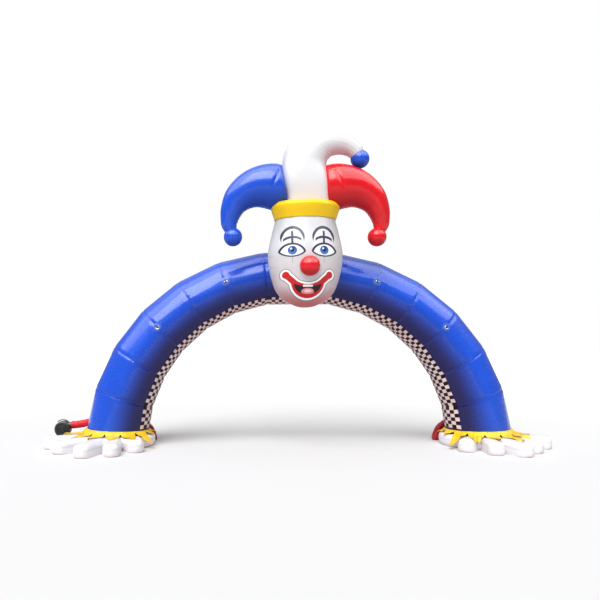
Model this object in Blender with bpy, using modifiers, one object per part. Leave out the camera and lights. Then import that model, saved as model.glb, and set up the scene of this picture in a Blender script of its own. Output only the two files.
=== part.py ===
"""Inflatable entrance arch with a clown head over the middle and a glove at each foot.

Metres, +Z up, front facing -Y. Every piece is placed from the middle of the arch on the ground, an empty at
ARCH_AT, which puts the whole inflatable's floor outline over the origin.
"""

from math import atan2, cos, floor, hypot, pi, radians, sin, sqrt, tan

import bmesh
import bpy
from mathutils import Matrix, Vector

SMOOTH_ANGLE = radians(35.0)

# Clearances
GAP = 0.0003
CUT_GAP = 0.0005

ARCH_AT = (0.07, 0.38, 0.0)

# Arch tube: the outer side turns by TURN at each of the twelve seams
TURN = radians(13.0)
CROWN_Z = 3.71
LEVEL_HALF = 0.705
SEGMENT_LENGTH = 0.87
SEAM_RADII = (0.497, 0.508, 0.524, 0.543, 0.561, 0.576)
FOOT_RADIUS = 0.587
TUBE_SIDES = 48

# Chequer panels on the inner side of the tube
PANEL_HALF_ANGLE = radians(42.0)
PANEL_INNER = 0.0005
PANEL_THICKNESS = 0.0025
PANEL_END_GAP = 0.0005
PANEL_FOOT_Z = 0.345

# Gloves and cuffs
GLOVE_TOP = 0.23
PALM_RADIUS = 0.73
TIP_STEPS = 4
SIDE_SHARE = 0.85
NOTCH_STEP = radians(1.5)
HEEL_STEPS = 26
CUFF_THICKNESS = 0.003
CUFF_REST = 0.001
CUFF_INNER_Z = 0.335
CUFF_CLEARANCE = 0.0028
CUFF_TIP = 0.98
CUFF_VALLEY = 0.74
CUFF_SHORT = 0.65
TIED_SLEEVE_BEARINGS = (-170.0, -108.0)
INLET_SLEEVE_BEARINGS = (92.0, 145.0)
CUFF_PETALS = 14
CUFF_STEPS = 4

# Head, hat band and horns
HEAD_Y = -0.95
HEAD_DEPTH = 0.88
HEAD_SIDES = 40
HORN_DEPTH = 0.92
HORN_SIDES = 24
BALL_RADIUS = 0.166
NOSE_RADIUS = 0.175
NOSE_Z = 3.30
NOSE_Y = -0.60

# Blower, beside the left foot
BLOWER_X = -4.66
BLOWER_Y = 0.45
DRUM_RADIUS = 0.155
DRUM_WIDTH = 0.24
DRUM_LIFT = 0.03
DRUM_ROUND = 0.02
STAND_SIZE = (0.31, 0.32, 0.05)
STAND_ROUND = 0.015
SADDLE_SIZE = (0.22, 0.16)
INTAKE_RADIUS = 0.10
INTAKE_SET_BACK = 0.018
INTAKE_REACH = 0.03
NECK_RADIUS = 0.058
NECK_Z = 0.315
NECK_END_X = -4.44

# Tie points on the front of the tube
PATCH_RADIUS = 0.08
PATCH_SIDES = 16
PATCH_THICKNESS = 0.003
PATCH_LIFT = 0.0016
TIE_LEVEL = 0.18
RING_WIRE = 0.005
RING_HALF_WIDTH = 0.030
RING_DROP = 0.046
RING_BACK = 0.006
RING_HEIGHT = 0.018
RING_POINTS = 20
KEEPER_HALF_WIDTH = 0.013
KEEPER_THICKNESS = 0.002

# Height and radius up the head, from the chin to the hat band
HEAD_PROFILE = (
    (2.617, 0.07),
    (2.632, 0.15),
    (2.665, 0.235),
    (2.712, 0.325),
    (2.765, 0.405),
    (2.835, 0.475),
    (2.930, 0.537),
    (3.067, 0.588),
    (3.202, 0.624),
    (3.345, 0.652),
    (3.510, 0.667),
    (3.640, 0.655),
    (3.780, 0.628),
    (3.920, 0.596),
    (4.050, 0.563),
    (4.165, 0.531),
)

# Height and radius up the flared hat band
BAND_PROFILE = (
    (4.1654, 0.537),
    (4.185, 0.548),
    (4.380, 0.610),
    (4.400, 0.609),
    (4.452, 0.574),
    (4.460, 0.562),
)

# Rings of the upright horn: x and z on its left side, then x and z on its right side
WHITE_HORN = (
    (-0.330, 4.300, 0.400, 4.300),
    (-0.345, 4.550, 0.415, 4.530),
    (-0.400, 4.780, 0.410, 4.750),
    (-0.422, 4.990, 0.390, 4.950),
    (-0.402, 5.220, 0.376, 5.100),
    (-0.343, 5.442, 0.385, 5.215),
    (-0.190, 5.620, 0.420, 5.285),
    (0.020, 5.737, 0.473, 5.330),
    (0.250, 5.790, 0.540, 5.352),
    (0.473, 5.803, 0.610, 5.360),
    (0.657, 5.771, 0.680, 5.355),
    (0.820, 5.690, 0.750, 5.335),
    (0.940, 5.585, 0.800, 5.305),
    (1.015, 5.500, 0.835, 5.280),
    (1.045, 5.420, 0.860, 5.262),
)

# Rings of a side horn, drawn for the left: x and z on its upper side, then x and z on its lower side
SIDE_HORN = (
    (-0.100, 4.980, -0.200, 4.360),
    (-0.240, 5.100, -0.400, 4.360),
    (-0.411, 5.165, -0.500, 4.362),
    (-0.620, 5.185, -0.620, 4.370),
    (-0.850, 5.145, -0.740, 4.400),
    (-1.075, 5.048, -0.860, 4.416),
    (-1.278, 4.884, -0.980, 4.390),
    (-1.430, 4.672, -1.085, 4.335),
    (-1.508, 4.405, -1.165, 4.230),
    (-1.515, 4.200, -1.210, 4.140),
    (-1.495, 4.060, -1.230, 4.050),
    (-1.420, 3.940, -1.180, 3.940),
)
WHITE_BALL = (0.985, 5.275)
SIDE_BALL = (-1.292, 3.876)

# Fingers of each glove: degrees outward from straight ahead, reach from the leg's middle, half width
LEFT_FINGERS = (
    (-28.0, 1.10, 0.155),
    (-3.0, 1.40, 0.150),
    (17.0, 1.58, 0.155),
    (42.0, 1.48, 0.155),
    (67.0, 1.42, 0.165),
)
RIGHT_FINGERS = (
    (-34.0, 1.12, 0.150),
    (-7.5, 1.27, 0.145),
    (12.5, 1.46, 0.150),
    (33.5, 1.28, 0.150),
    (65.0, 1.27, 0.160),
)

# Edge of the glove from its sole up: height, inset
GLOVE_EDGE = (
    (0.000, 0.030),
    (0.020, 0.006),
    (0.060, 0.000),
    (0.140, 0.000),
    (0.190, 0.018),
    (0.218, 0.045),
    (0.230, 0.080),
)

# Rings of a tied-off sleeve: degrees outward from straight ahead, reach and height of its upper side,
# then of its lower side, then half width
TIED_SLEEVE = (
    (-146.0, 0.500, 0.485, 0.500, 0.365, 0.068),
    (-146.0, 0.610, 0.472, 0.610, 0.352, 0.076),
    (-145.0, 0.715, 0.430, 0.678, 0.326, 0.090),
    (-142.5, 0.800, 0.360, 0.712, 0.262, 0.104),
    (-139.0, 0.862, 0.275, 0.738, 0.200, 0.113),
    (-136.0, 0.903, 0.180, 0.752, 0.142, 0.118),
    (-133.5, 0.922, 0.092, 0.756, 0.076, 0.116),
    (-132.0, 0.922, 0.028, 0.750, 0.024, 0.110),
    (-132.0, 0.905, 0.000, 0.765, 0.000, 0.098),
)

# Inflation sleeve from the blower to the tube: x, y, z and radius
INLET_SLEEVE = (
    (-4.475, 0.450, 0.315, 0.064),
    (-4.455, 0.450, 0.315, 0.069),
    (-4.380, 0.447, 0.320, 0.071),
    (-4.270, 0.430, 0.340, 0.072),
    (-4.150, 0.390, 0.372, 0.071),
    (-4.030, 0.330, 0.405, 0.067),
    (-3.900, 0.250, 0.420, 0.066),
)

# Keeper strap over the ring's bar: distance round the tube, height of its upper side over the patch
KEEPER_PROFILE = (
    (-0.036, 0.0024),
    (-0.018, 0.0024),
    (-0.011, 0.0090),
    (-0.008, 0.0190),
    (-0.004, 0.0255),
    (0.000, 0.0270),
    (0.004, 0.0255),
    (0.008, 0.0190),
    (0.011, 0.0090),
    (0.018, 0.0024),
    (0.036, 0.0024),
)

BLUE = (0.02, 0.09, 0.62)
RED = (0.72, 0.02, 0.03)
DARK_RED = (0.36, 0.01, 0.02)
WHITE = (0.88, 0.88, 0.88)
YELLOW = (0.95, 0.68, 0.02)
BLACK = (0.015, 0.015, 0.015)
STEEL = (0.55, 0.55, 0.55)


def clear_scene():
    for obj in list(bpy.data.objects):
        bpy.data.objects.remove(obj, do_unlink=True)


def new_collection(name):
    collection = bpy.data.collections.new(name)
    bpy.context.scene.collection.children.link(collection)
    return collection


def principled(name, colour, roughness, metallic=0.0):
    material = bpy.data.materials.new(name)
    material.use_nodes = True
    shader = material.node_tree.nodes["Principled BSDF"]
    shader.inputs["Base Color"].default_value = (*colour, 1.0)
    shader.inputs["Roughness"].default_value = roughness
    shader.inputs["Metallic"].default_value = metallic
    return material


def link_mesh(name, mesh, colour, roughness=0.35, metallic=0.0):
    mesh.shade_smooth()
    mesh.set_sharp_from_angle(angle=SMOOTH_ANGLE)
    mesh.materials.append(principled(name, colour, roughness, metallic))
    low, high = ([side(v.co[i] for v in mesh.vertices) for i in range(3)] for side in (min, max))
    middle = (Vector(low) + Vector(high)) / 2
    mesh.transform(Matrix.Translation(-middle))
    obj = bpy.data.objects.new(name, mesh)
    obj.location = middle
    PARTS.objects.link(obj)
    return obj


def mesh_of(name, work):
    mesh = bpy.data.meshes.new(name)
    work.to_mesh(mesh)
    work.free()
    return mesh


def loft(name, rings, colour, **look):
    """A solid skinned over unlike rings of equal point count, with a flat cap at each end."""
    work = bmesh.new()
    loops = [[work.verts.new(p) for p in ring] for ring in rings]
    for near, far in zip(loops, loops[1:]):
        for j in range(len(near)):
            k = (j + 1) % len(near)
            work.faces.new((near[j], near[k], far[k], far[j]))
    for end in (loops[0], loops[-1]):
        work.faces.new(end)
    bmesh.ops.recalc_face_normals(work, faces=work.faces)
    return link_mesh(name, mesh_of(name, work), colour, **look)


def sheet(name, rows, inside, thickness, colour, **look):
    """An open grid of points thickened away from the point inside, or towards it if thickness is negative."""
    work = bmesh.new()
    last = len(rows) - 1
    across = len(rows[0]) - 1
    bmesh.ops.create_grid(work, x_segments=last, y_segments=across, size=0.5)
    for vert in work.verts:
        i = round((vert.co.x + 0.5) * last)
        j = round((vert.co.y + 0.5) * across)
        vert.co = rows[i][j]
    bmesh.ops.remove_doubles(work, verts=work.verts, dist=0.00001)
    work.normal_update()
    facing = 0
    for face in work.faces:
        facing += face.normal.dot(face.calc_center_median() - inside) * face.calc_area()
    if facing < 0:
        bmesh.ops.reverse_faces(work, faces=work.faces)
    obj = link_mesh(name, mesh_of(name, work), colour, **look)
    modifier = obj.modifiers.new("thickness", "SOLIDIFY")
    modifier.thickness = abs(thickness)
    modifier.offset = 1.0 if thickness > 0 else -1.0
    return obj


def hide_helper(helper):
    helper.hide_render = True
    helper.display_type = "WIRE"
    PARTS.objects.unlink(helper)
    CUTTERS.objects.link(helper)


def combine(obj, helpers, operation):
    """Boolean modifiers on obj, one for each hidden helper."""
    for helper in helpers:
        hide_helper(helper)
        modifier = obj.modifiers.new(helper.name, "BOOLEAN")
        modifier.operation = operation
        modifier.object = helper


def cut(obj, cutters):
    combine(obj, cutters, "DIFFERENCE")


def join(obj, others):
    combine(obj, others, "UNION")


def circle(count, start=0.0):
    return [start + 2 * pi * i / count for i in range(count)]


# Arch tube


def outer_seam(k):
    """Outer corner of seam k of the right half, counted from the crown down, as x and z."""
    x = LEVEL_HALF
    z = CROWN_Z
    for i in range(k):
        x += SEGMENT_LENGTH * cos(TURN * (i + 1))
        z -= SEGMENT_LENGTH * sin(TURN * (i + 1))
    return x, z


LAST_SEAM = len(SEAM_RADII) - 1
FOOT_LEAN = pi / 2 - TURN * (LAST_SEAM + 1)


def seam_frame(k, z_foot=GLOVE_TOP + GAP):
    """Centre, outward half axis and depth radius of seam k; seam LAST_SEAM + 1 is the level cut at z_foot."""
    if k <= LAST_SEAM:
        x, z = outer_seam(k)
        tilt = TURN * (k + 0.5)
        outward = Vector((sin(tilt), 0, cos(tilt)))
        depth = SEAM_RADII[k]
        reach = depth / cos(TURN / 2)
    else:
        x, z = outer_seam(LAST_SEAM)
        fall = (z - z_foot) / (z - GLOVE_TOP)
        x += (z - z_foot) * tan(FOOT_LEAN)
        z = z_foot
        outward = Vector((1, 0, 0))
        depth = SEAM_RADII[LAST_SEAM] + (FOOT_RADIUS - SEAM_RADII[LAST_SEAM]) * fall
        reach = depth / cos(FOOT_LEAN)
    centre = Vector((x, 0, z)) - outward * reach
    return centre, outward, reach, depth


def run_direction(k):
    """Direction of the segment below seam k, going down the right leg. Seam -1 stands for the level one."""
    return Vector((cos(TURN * (k + 1)), 0, -sin(TURN * (k + 1))))


def mirrored(point, side):
    return Vector((point.x * side, point.y, point.z))


def tube_point(k, angle, grow=0.0, z_foot=GLOVE_TOP + GAP):
    """Point on the flats round seam k: angle 0 is the inner side, a quarter turn is the rear."""
    centre, outward, reach, depth = seam_frame(k, z_foot)
    step = 2 * pi / TUBE_SIDES
    corner = floor(angle / step + 1e-6)
    part = angle / step - corner
    corners = []
    for a in (corner * step, (corner + 1) * step):
        corners.append(Vector((0, (depth + grow) * sin(a), 0)) - outward * (reach + grow) * cos(a))
    return centre + corners[0].lerp(corners[1], max(part, 0.0))


def segment_rings(k, grow=0.0, inset=GAP / 2, z_foot=GLOVE_TOP + GAP, angles=None):
    """End rings of the segment below seam k of the right leg."""
    angles = angles or circle(TUBE_SIDES)
    run = run_direction(k)
    upper = [tube_point(k, a, grow) + run * inset for a in angles]
    if k < LAST_SEAM:
        lower = [tube_point(k + 1, a, grow) - run * inset for a in angles]
    else:
        lower = [tube_point(k + 1, a, grow, z_foot) for a in angles]
    return upper, lower


def level_rings(grow=0.0, inset=GAP / 2, angles=None):
    angles = angles or circle(TUBE_SIDES)
    right = [tube_point(0, a, grow) - Vector((inset, 0, 0)) for a in angles]
    return [mirrored(p, -1) for p in right], right


def numbered(k, side):
    """Segment number from the left foot for the segment below seam k."""
    return LAST_SEAM + 1 + side * (k + 1)


def build_tube():
    loft(f"seg_{LAST_SEAM + 1:02d}", level_rings(), BLUE)
    for side in (-1, 1):
        for k in range(LAST_SEAM + 1):
            rings = [[mirrored(p, side) for p in ring] for ring in segment_rings(k)]
            loft(f"seg_{numbered(k, side):02d}", rings, BLUE)


def build_panels():
    step = 2 * pi / TUBE_SIDES
    whole = int(PANEL_HALF_ANGLE / step)
    angles = [-PANEL_HALF_ANGLE] + [step * i for i in range(-whole, whole + 1)] + [PANEL_HALF_ANGLE]
    rows = level_rings(PANEL_INNER, PANEL_END_GAP, angles)
    middle = Vector((0, 0, seam_frame(0)[0].z))
    sheet(f"check_{LAST_SEAM + 1:02d}", rows, middle, PANEL_THICKNESS, BLACK)
    for side in (-1, 1):
        for k in range(LAST_SEAM + 1):
            rings = segment_rings(k, PANEL_INNER, PANEL_END_GAP, PANEL_FOOT_Z, angles)
            rows = [[mirrored(p, side) for p in ring] for ring in rings]
            middle = mirrored((seam_frame(k)[0] + seam_frame(k + 1)[0]) / 2, side)
            sheet(f"check_{numbered(k, side):02d}", rows, middle, PANEL_THICKNESS, BLACK)


# Gloves and cuffs


def foot_centre(z=GLOVE_TOP + GAP):
    centre = seam_frame(LAST_SEAM + 1, z)[0]
    return centre.x


def bearing_point(side, bearing, reach, z):
    """Point at a bearing outward from straight ahead, round the middle of one leg."""
    x = foot_centre() + reach * sin(bearing)
    return Vector((side * x, -reach * cos(bearing), z))


def finger_reach(bearing, finger, inset):
    """How far the rounded finger reaches from the leg's middle along a bearing."""
    degrees, length, half_width = finger
    turn = atan2(sin(bearing - radians(degrees)), cos(bearing - radians(degrees)))
    width = half_width - inset
    tip = length - half_width
    if cos(turn) <= 0:
        return width
    to_side = width / abs(sin(turn)) if abs(sin(turn)) > 1e-6 else 10.0
    if to_side * cos(turn) <= tip:
        return to_side
    return tip * cos(turn) + sqrt(width**2 - (tip * sin(turn)) ** 2)


def glove_reach(fingers, bearing, inset):
    return max([PALM_RADIUS - inset] + [finger_reach(bearing, finger, inset) for finger in fingers])


def glove_bearings(fingers):
    """Bearings that fall on every finger's round tip, its sides and the notches between."""
    found = []
    for degrees, length, half_width in fingers:
        middle = radians(degrees)
        tip = length - half_width
        for i in range(-TIP_STEPS, TIP_STEPS + 1):
            bend = i * pi / 2 / TIP_STEPS
            found.append(middle + atan2(half_width * sin(bend), tip + half_width * cos(bend)))
        for side in (-1, 1):
            found.append(middle + side * atan2(half_width, tip * SIDE_SHARE))
    for near, far in zip(fingers, fingers[1:]):
        notch = radians(near[0] + far[0]) / 2
        found += [notch - NOTCH_STEP, notch, notch + NOTCH_STEP]
    for side, (degrees, _, half_width) in ((-1, fingers[0]), (1, fingers[-1])):
        root = atan2(half_width, sqrt(PALM_RADIUS**2 - half_width**2))
        found.append(radians(degrees) + side * root)
    first = min(found)
    last = max(found)
    gap = 2 * pi - (last - first)
    found += [last + gap * i / HEEL_STEPS for i in range(1, HEEL_STEPS)]
    return sorted(set(round(f, 5) for f in found))


def build_gloves():
    for side, name, fingers in ((-1, "glove_left", LEFT_FINGERS), (1, "glove_right", RIGHT_FINGERS)):
        bearings = glove_bearings(fingers)
        rings = []
        for z, inset in GLOVE_EDGE:
            rings.append([bearing_point(side, b, glove_reach(fingers, b, inset), z) for b in bearings])
        loft(name, rings, WHITE)


def petal_tip(bearing, side):
    """Reach of the cuff's point at a bearing, short where a sleeve leaves the tube."""
    degrees = (bearing * 180 / pi + 180) % 360 - 180
    over_tied = TIED_SLEEVE_BEARINGS[0] < degrees < TIED_SLEEVE_BEARINGS[1]
    over_inlet = side < 0 and INLET_SLEEVE_BEARINGS[0] < degrees < INLET_SLEEVE_BEARINGS[1]
    return CUFF_SHORT if over_tied or over_inlet else CUFF_TIP


def build_cuffs():
    centre, outward, reach, depth = seam_frame(LAST_SEAM + 1, CUFF_INNER_Z)
    fall = (CUFF_INNER_Z - GLOVE_TOP - CUFF_THICKNESS - CUFF_REST) / (CUFF_TIP - depth)
    shift = centre.x - foot_centre()
    wide = reach + CUFF_CLEARANCE
    deep = depth + CUFF_CLEARANCE
    count = CUFF_PETALS * CUFF_STEPS
    for side, name in ((-1, "cuff_left"), (1, "cuff_right")):
        rows = ([], [], [])
        for i in range(count + 1):
            bearing = 2 * pi * (i % count) / count
            phase = abs(i % CUFF_STEPS - CUFF_STEPS / 2) / (CUFF_STEPS / 2)
            tip = petal_tip(bearing, side)
            valley = min(CUFF_VALLEY, tip)
            outer = valley + (tip - valley) * phase
            inner = wide * deep / hypot(deep * sin(bearing), wide * cos(bearing))
            for row, part in zip(rows, (0.0, 0.5, 1.0)):
                distance = inner + (outer - inner) * part
                height = CUFF_INNER_Z - (distance - inner) * fall
                point = bearing_point(side, bearing, distance, height)
                row.append(point + Vector((side * shift * (1 - part), 0, 0)))
        below = Vector((side * centre.x, 0, -10))
        sheet(name, rows, below, -CUFF_THICKNESS, YELLOW)


# Head and hat


def turned(name, profile, colour, grow=0.0):
    """A solid turned round the head's upright axis, then flattened from front to back."""
    outline = [(0.0, profile[-1][0])]
    outline += [(radius + grow, z) for z, radius in reversed(profile)]
    outline.append((0.0, profile[0][0]))
    mesh = bpy.data.meshes.new(name)
    edges = [(i, i + 1) for i in range(len(outline) - 1)]
    mesh.from_pydata([(x, 0, z) for x, z in outline], edges, [])
    mesh.materials.append(principled(name, colour, 0.35))
    obj = bpy.data.objects.new(name, mesh)
    PARTS.objects.link(obj)
    obj.location = (0, HEAD_Y, 0)
    obj.scale = (1, HEAD_DEPTH, 1)
    modifier = obj.modifiers.new("turned", "SCREW")
    modifier.steps = HEAD_SIDES
    modifier.render_steps = HEAD_SIDES
    modifier.use_merge_vertices = True
    modifier.merge_threshold = 0.0001
    return obj


def horn(name, rows, side, colour, grow=0.0):
    """A horn whose rings span the two sides of its outline."""
    rings = []
    for outer_x, outer_z, inner_x, inner_z in rows:
        outer = Vector((outer_x * side, 0, outer_z))
        inner = Vector((inner_x * side, 0, inner_z))
        middle = (outer + inner) / 2 + Vector((0, HEAD_Y, 0))
        half = (outer - inner) / 2
        half += half.normalized() * grow
        depth = half.length * HORN_DEPTH
        rings.append([middle + half * cos(a) + Vector((0, depth * sin(a), 0)) for a in circle(HORN_SIDES)])
    return loft(name, rings, colour)


def ball(name, centre, radius, colour, grow=0.0, columns=20, rows=12):
    work = bmesh.new()
    bmesh.ops.create_uvsphere(work, u_segments=columns, v_segments=rows, radius=radius + grow)
    obj = link_mesh(name, mesh_of(name, work), colour)
    obj.location = centre
    return obj


def horn_ball_centre(place, side):
    return Vector((place[0] * side, HEAD_Y, place[1]))


def build_head():
    head = turned("head", HEAD_PROFILE, WHITE)
    behind = loft("tube_clearance", level_rings(CUT_GAP), BLUE)
    cut(head, [behind])
    turned("hat_band", BAND_PROFILE, YELLOW)
    nose = ball("nose", Vector((0, HEAD_Y + NOSE_Y, NOSE_Z)), NOSE_RADIUS, RED)
    cut(nose, [turned("face_clearance", HEAD_PROFILE, WHITE, CUT_GAP)])


def build_hat():
    white = horn("horn_white", WHITE_HORN, 1, WHITE)
    blue = horn("horn_blue", SIDE_HORN, 1, BLUE)
    red = horn("horn_red", SIDE_HORN, -1, RED)
    for obj, place, side, ball_name, colour in (
        (white, WHITE_BALL, 1, "ball_white", BLUE),
        (blue, SIDE_BALL, 1, "ball_blue", BLUE),
        (red, SIDE_BALL, -1, "ball_red", RED),
    ):
        centre = horn_ball_centre(place, side)
        ball(ball_name, centre, BALL_RADIUS, colour)
        cutters = [ball(f"{ball_name}_clearance", centre, BALL_RADIUS, colour, CUT_GAP)]
        lid = BAND_PROFILE + ((BAND_PROFILE[-1][0] + CUT_GAP, BAND_PROFILE[-1][1]),)
        cutters.append(turned(f"{obj.name}_band_clearance", lid, YELLOW, CUT_GAP))
        if obj is not white:
            cutters.append(horn(f"{obj.name}_root_clearance", WHITE_HORN, 1, WHITE, CUT_GAP))
        cut(obj, cutters)


# Air supply


def box(name, low, high, colour, bevel=0.0):
    work = bmesh.new()
    bmesh.ops.create_cube(work, size=1.0)
    bmesh.ops.scale(work, verts=work.verts, vec=high - low)
    obj = link_mesh(name, mesh_of(name, work), colour, roughness=0.5)
    obj.location = (low + high) / 2
    if bevel:
        rounded(obj, bevel)
    return obj


def rounded(obj, width):
    modifier = obj.modifiers.new("rounded edges", "BEVEL")
    modifier.width = width
    modifier.segments = 2


def cylinder(name, start, end, radius, colour, sides=32):
    work = bmesh.new()
    length = (end - start).length
    bmesh.ops.create_cone(work, cap_ends=True, segments=sides, radius1=radius, radius2=radius, depth=length)
    obj = link_mesh(name, mesh_of(name, work), colour, roughness=0.5)
    obj.rotation_mode = "QUATERNION"
    obj.rotation_quaternion = (end - start).to_track_quat("Z", "Y")
    obj.location = (start + end) / 2
    return obj


def wire(name, points, depth, resolution, colour, cyclic=False, radii=None, **look):
    """A tube along a line of points, with filled ends unless it is a closed loop."""
    curve = bpy.data.curves.new(name, "CURVE")
    curve.dimensions = "3D"
    curve.bevel_depth = depth
    curve.bevel_resolution = resolution
    curve.use_fill_caps = not cyclic
    spline = curve.splines.new("POLY")
    spline.points.add(len(points) - 1)
    spline.use_cyclic_u = cyclic
    middle = sum(points, Vector()) / len(points)
    for i, point in enumerate(points):
        spline.points[i].co = (*(point - middle), 1.0)
        spline.points[i].radius = radii[i] / depth if radii else 1.0
    obj = bpy.data.objects.new(name, curve)
    obj.location = middle
    curve.materials.append(principled(name, colour, look.get("roughness", 0.35), look.get("metallic", 0.0)))
    PARTS.objects.link(obj)
    return obj


def as_mesh(obj):
    """Replace a curve by its welded mesh, so that it can be cut."""
    bpy.context.view_layer.update()
    graph = bpy.context.evaluated_depsgraph_get()
    mesh = bpy.data.meshes.new_from_object(obj.evaluated_get(graph))
    work = bmesh.new()
    work.from_mesh(mesh)
    bmesh.ops.remove_doubles(work, verts=work.verts, dist=0.00001)
    bmesh.ops.recalc_face_normals(work, faces=work.faces)
    work.to_mesh(mesh)
    work.free()
    name = obj.name
    place = obj.matrix_world.copy()
    bpy.data.objects.remove(obj, do_unlink=True)
    solid = bpy.data.objects.new(name, mesh)
    solid.matrix_world = place
    PARTS.objects.link(solid)
    return solid


def build_blower():
    x = BLOWER_X
    y = BLOWER_Y
    wide, deep, tall = STAND_SIZE
    low = Vector((x - wide / 2, y - deep / 2, 0))
    high = Vector((x + wide / 2, y + deep / 2, tall))
    box("blower_stand", low, high, BLACK, STAND_ROUND)
    base = tall + GAP
    drum_z = base + DRUM_RADIUS + DRUM_LIFT
    front = Vector((x, y - DRUM_WIDTH / 2, drum_z))
    rear = Vector((x, y + DRUM_WIDTH / 2, drum_z))
    body = cylinder("blower", front, rear, DRUM_RADIUS, BLACK)
    rounded(body, DRUM_ROUND)
    wide, deep = SADDLE_SIZE
    low = Vector((x - wide / 2, y - deep / 2, base))
    high = Vector((x + wide / 2, y + deep / 2, drum_z))
    saddle = box("blower_saddle", low, high, BLACK)
    start = Vector((x, y, NECK_Z))
    end = Vector((NECK_END_X, y, NECK_Z))
    neck = cylinder("blower_neck", start, end, NECK_RADIUS, BLACK)
    start = front - Vector((0, INTAKE_SET_BACK, 0))
    end = front + Vector((0, INTAKE_REACH, 0))
    intake = cylinder("blower_intake", start, end, INTAKE_RADIUS, BLACK)
    join(body, [saddle, neck, intake])


def build_inlet_sleeve():
    centres = [Vector((x, y, z)) for x, y, z, _ in INLET_SLEEVE]
    radii = [row[3] for row in INLET_SLEEVE]
    sleeve = as_mesh(wire("sleeve_inlet", centres, max(radii), 4, RED, radii=radii, roughness=0.6))
    y = BLOWER_Y
    start = Vector((BLOWER_X, y, NECK_Z))
    end = Vector((NECK_END_X + CUT_GAP, y, NECK_Z))
    neck = cylinder("neck_clearance", start, end, NECK_RADIUS + CUT_GAP, BLACK)
    cut(sleeve, [neck, leg_clearance("inlet_leg_clearance", -1)])


def leg_clearance(name, side):
    rings = [[mirrored(p, side) for p in ring] for ring in segment_rings(LAST_SEAM, CUT_GAP)]
    return loft(name, rings, BLUE)


def build_tied_sleeves():
    for side, name in ((-1, "sleeve_left"), (1, "sleeve_right")):
        rings = []
        for degrees, up_reach, up_z, low_reach, low_z, half_width in TIED_SLEEVE:
            bearing = radians(degrees)
            across = Vector((side * cos(bearing), sin(bearing), 0))
            upper = bearing_point(side, bearing, up_reach, up_z)
            lower = bearing_point(side, bearing, low_reach, low_z)
            middle = (upper + lower) / 2
            half = (upper - lower) / 2
            rings.append([middle + half * cos(a) + across * half_width * sin(a) for a in circle(HORN_SIDES)])
        sleeve = loft(name, rings, DARK_RED, roughness=0.7)
        cut(sleeve, [leg_clearance(f"{name}_leg_clearance", side)])


# Tie points


def surface_point(k, angle, along, height):
    """Point over the tube near seam k: along the tube from the seam, at a height over the skin."""
    base = tube_point(k, angle)
    lifted = tube_point(k, angle, height)
    if along >= 0:
        away = tube_point(k + 1, angle)
    else:
        away = tube_point(k - 1, angle) if k else mirrored(tube_point(0, angle), -1)
    direction = (away - base).normalized()
    return lifted + direction * abs(along)


def build_tie(k, side, name):
    """Patch, keeper and ring on the front of seam k."""
    middle = -(pi / 2 + TIE_LEVEL)
    depth = SEAM_RADII[k]
    inside = mirrored(seam_frame(k)[0], side)
    rows = []
    for reach in (0.0, PATCH_RADIUS / 2, PATCH_RADIUS):
        row = []
        for c in circle(PATCH_SIDES) + [0.0]:
            point = surface_point(k, middle + reach * sin(c) / depth, reach * cos(c), PATCH_LIFT)
            row.append(mirrored(point, side))
        rows.append(row)
    sheet(f"patch_{name}", rows, inside, PATCH_THICKNESS, BLUE, roughness=0.5)

    origin = tube_point(k, middle, PATCH_LIFT + PATCH_THICKNESS)
    normal = (tube_point(k, middle, 1.0) - tube_point(k, middle)).normalized()
    tilt = TURN * (k + 0.5)
    along = Vector((cos(tilt), 0, -sin(tilt)))
    down = along.cross(normal).normalized()
    if down.z > 0:
        down = -down
    frame = Matrix((along, down, normal)).transposed()

    def place(a, d, n):
        return mirrored(origin + frame @ Vector((a, d, n)), side)

    rows = [[place(a, d, n) for a in (-KEEPER_HALF_WIDTH, KEEPER_HALF_WIDTH)] for d, n in KEEPER_PROFILE]
    sheet(f"keeper_{name}", rows, inside, -KEEPER_THICKNESS, BLACK, roughness=0.8)

    points = []
    for c in circle(RING_POINTS):
        drop = RING_DROP if sin(c) > 0 else RING_BACK
        points.append(place(RING_HALF_WIDTH * cos(c), RING_BACK + drop * sin(c), RING_HEIGHT))
    wire(f"ring_{name}", points, RING_WIRE, 1, STEEL, cyclic=True, roughness=0.3, metallic=1.0)


def build_ties():
    for k, level in ((3, "low"), (1, "high")):
        build_tie(k, -1, f"left_{level}")
        build_tie(k, 1, f"right_{level}")


clear_scene()
PARTS = new_collection("inflatable_arch")
CUTTERS = new_collection("cutters")
CUTTERS.hide_render = True
build_tube()
build_panels()
build_gloves()
build_cuffs()
build_head()
build_hat()
build_blower()
build_inlet_sleeve()
build_tied_sleeves()
build_ties()
arch = bpy.data.objects.new("arch", None)
arch.location = ARCH_AT
for part in [*PARTS.objects, *CUTTERS.objects]:
    part.parent = arch
PARTS.objects.link(arch)
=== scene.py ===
"""Looks of the inflatable entrance arch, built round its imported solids."""

from math import cos, pi, radians, sin, tan

import bmesh
import bpy
import numpy as np
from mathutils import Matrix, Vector


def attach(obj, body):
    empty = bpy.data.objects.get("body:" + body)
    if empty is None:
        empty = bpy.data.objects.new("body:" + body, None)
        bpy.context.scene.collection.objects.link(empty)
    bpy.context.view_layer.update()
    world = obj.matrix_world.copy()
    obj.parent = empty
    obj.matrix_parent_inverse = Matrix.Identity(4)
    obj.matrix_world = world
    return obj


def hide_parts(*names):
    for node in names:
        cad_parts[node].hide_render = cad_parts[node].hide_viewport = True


bl_info = {
    "name": "Inflatable arch",
    "version": (1, 0, 0),
    "blender": (4, 5, 0),
    "location": "3D View > Sidebar > Arch",
    "description": "Dresses the solids of an inflatable entrance arch",
    "category": "Object",
}

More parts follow.
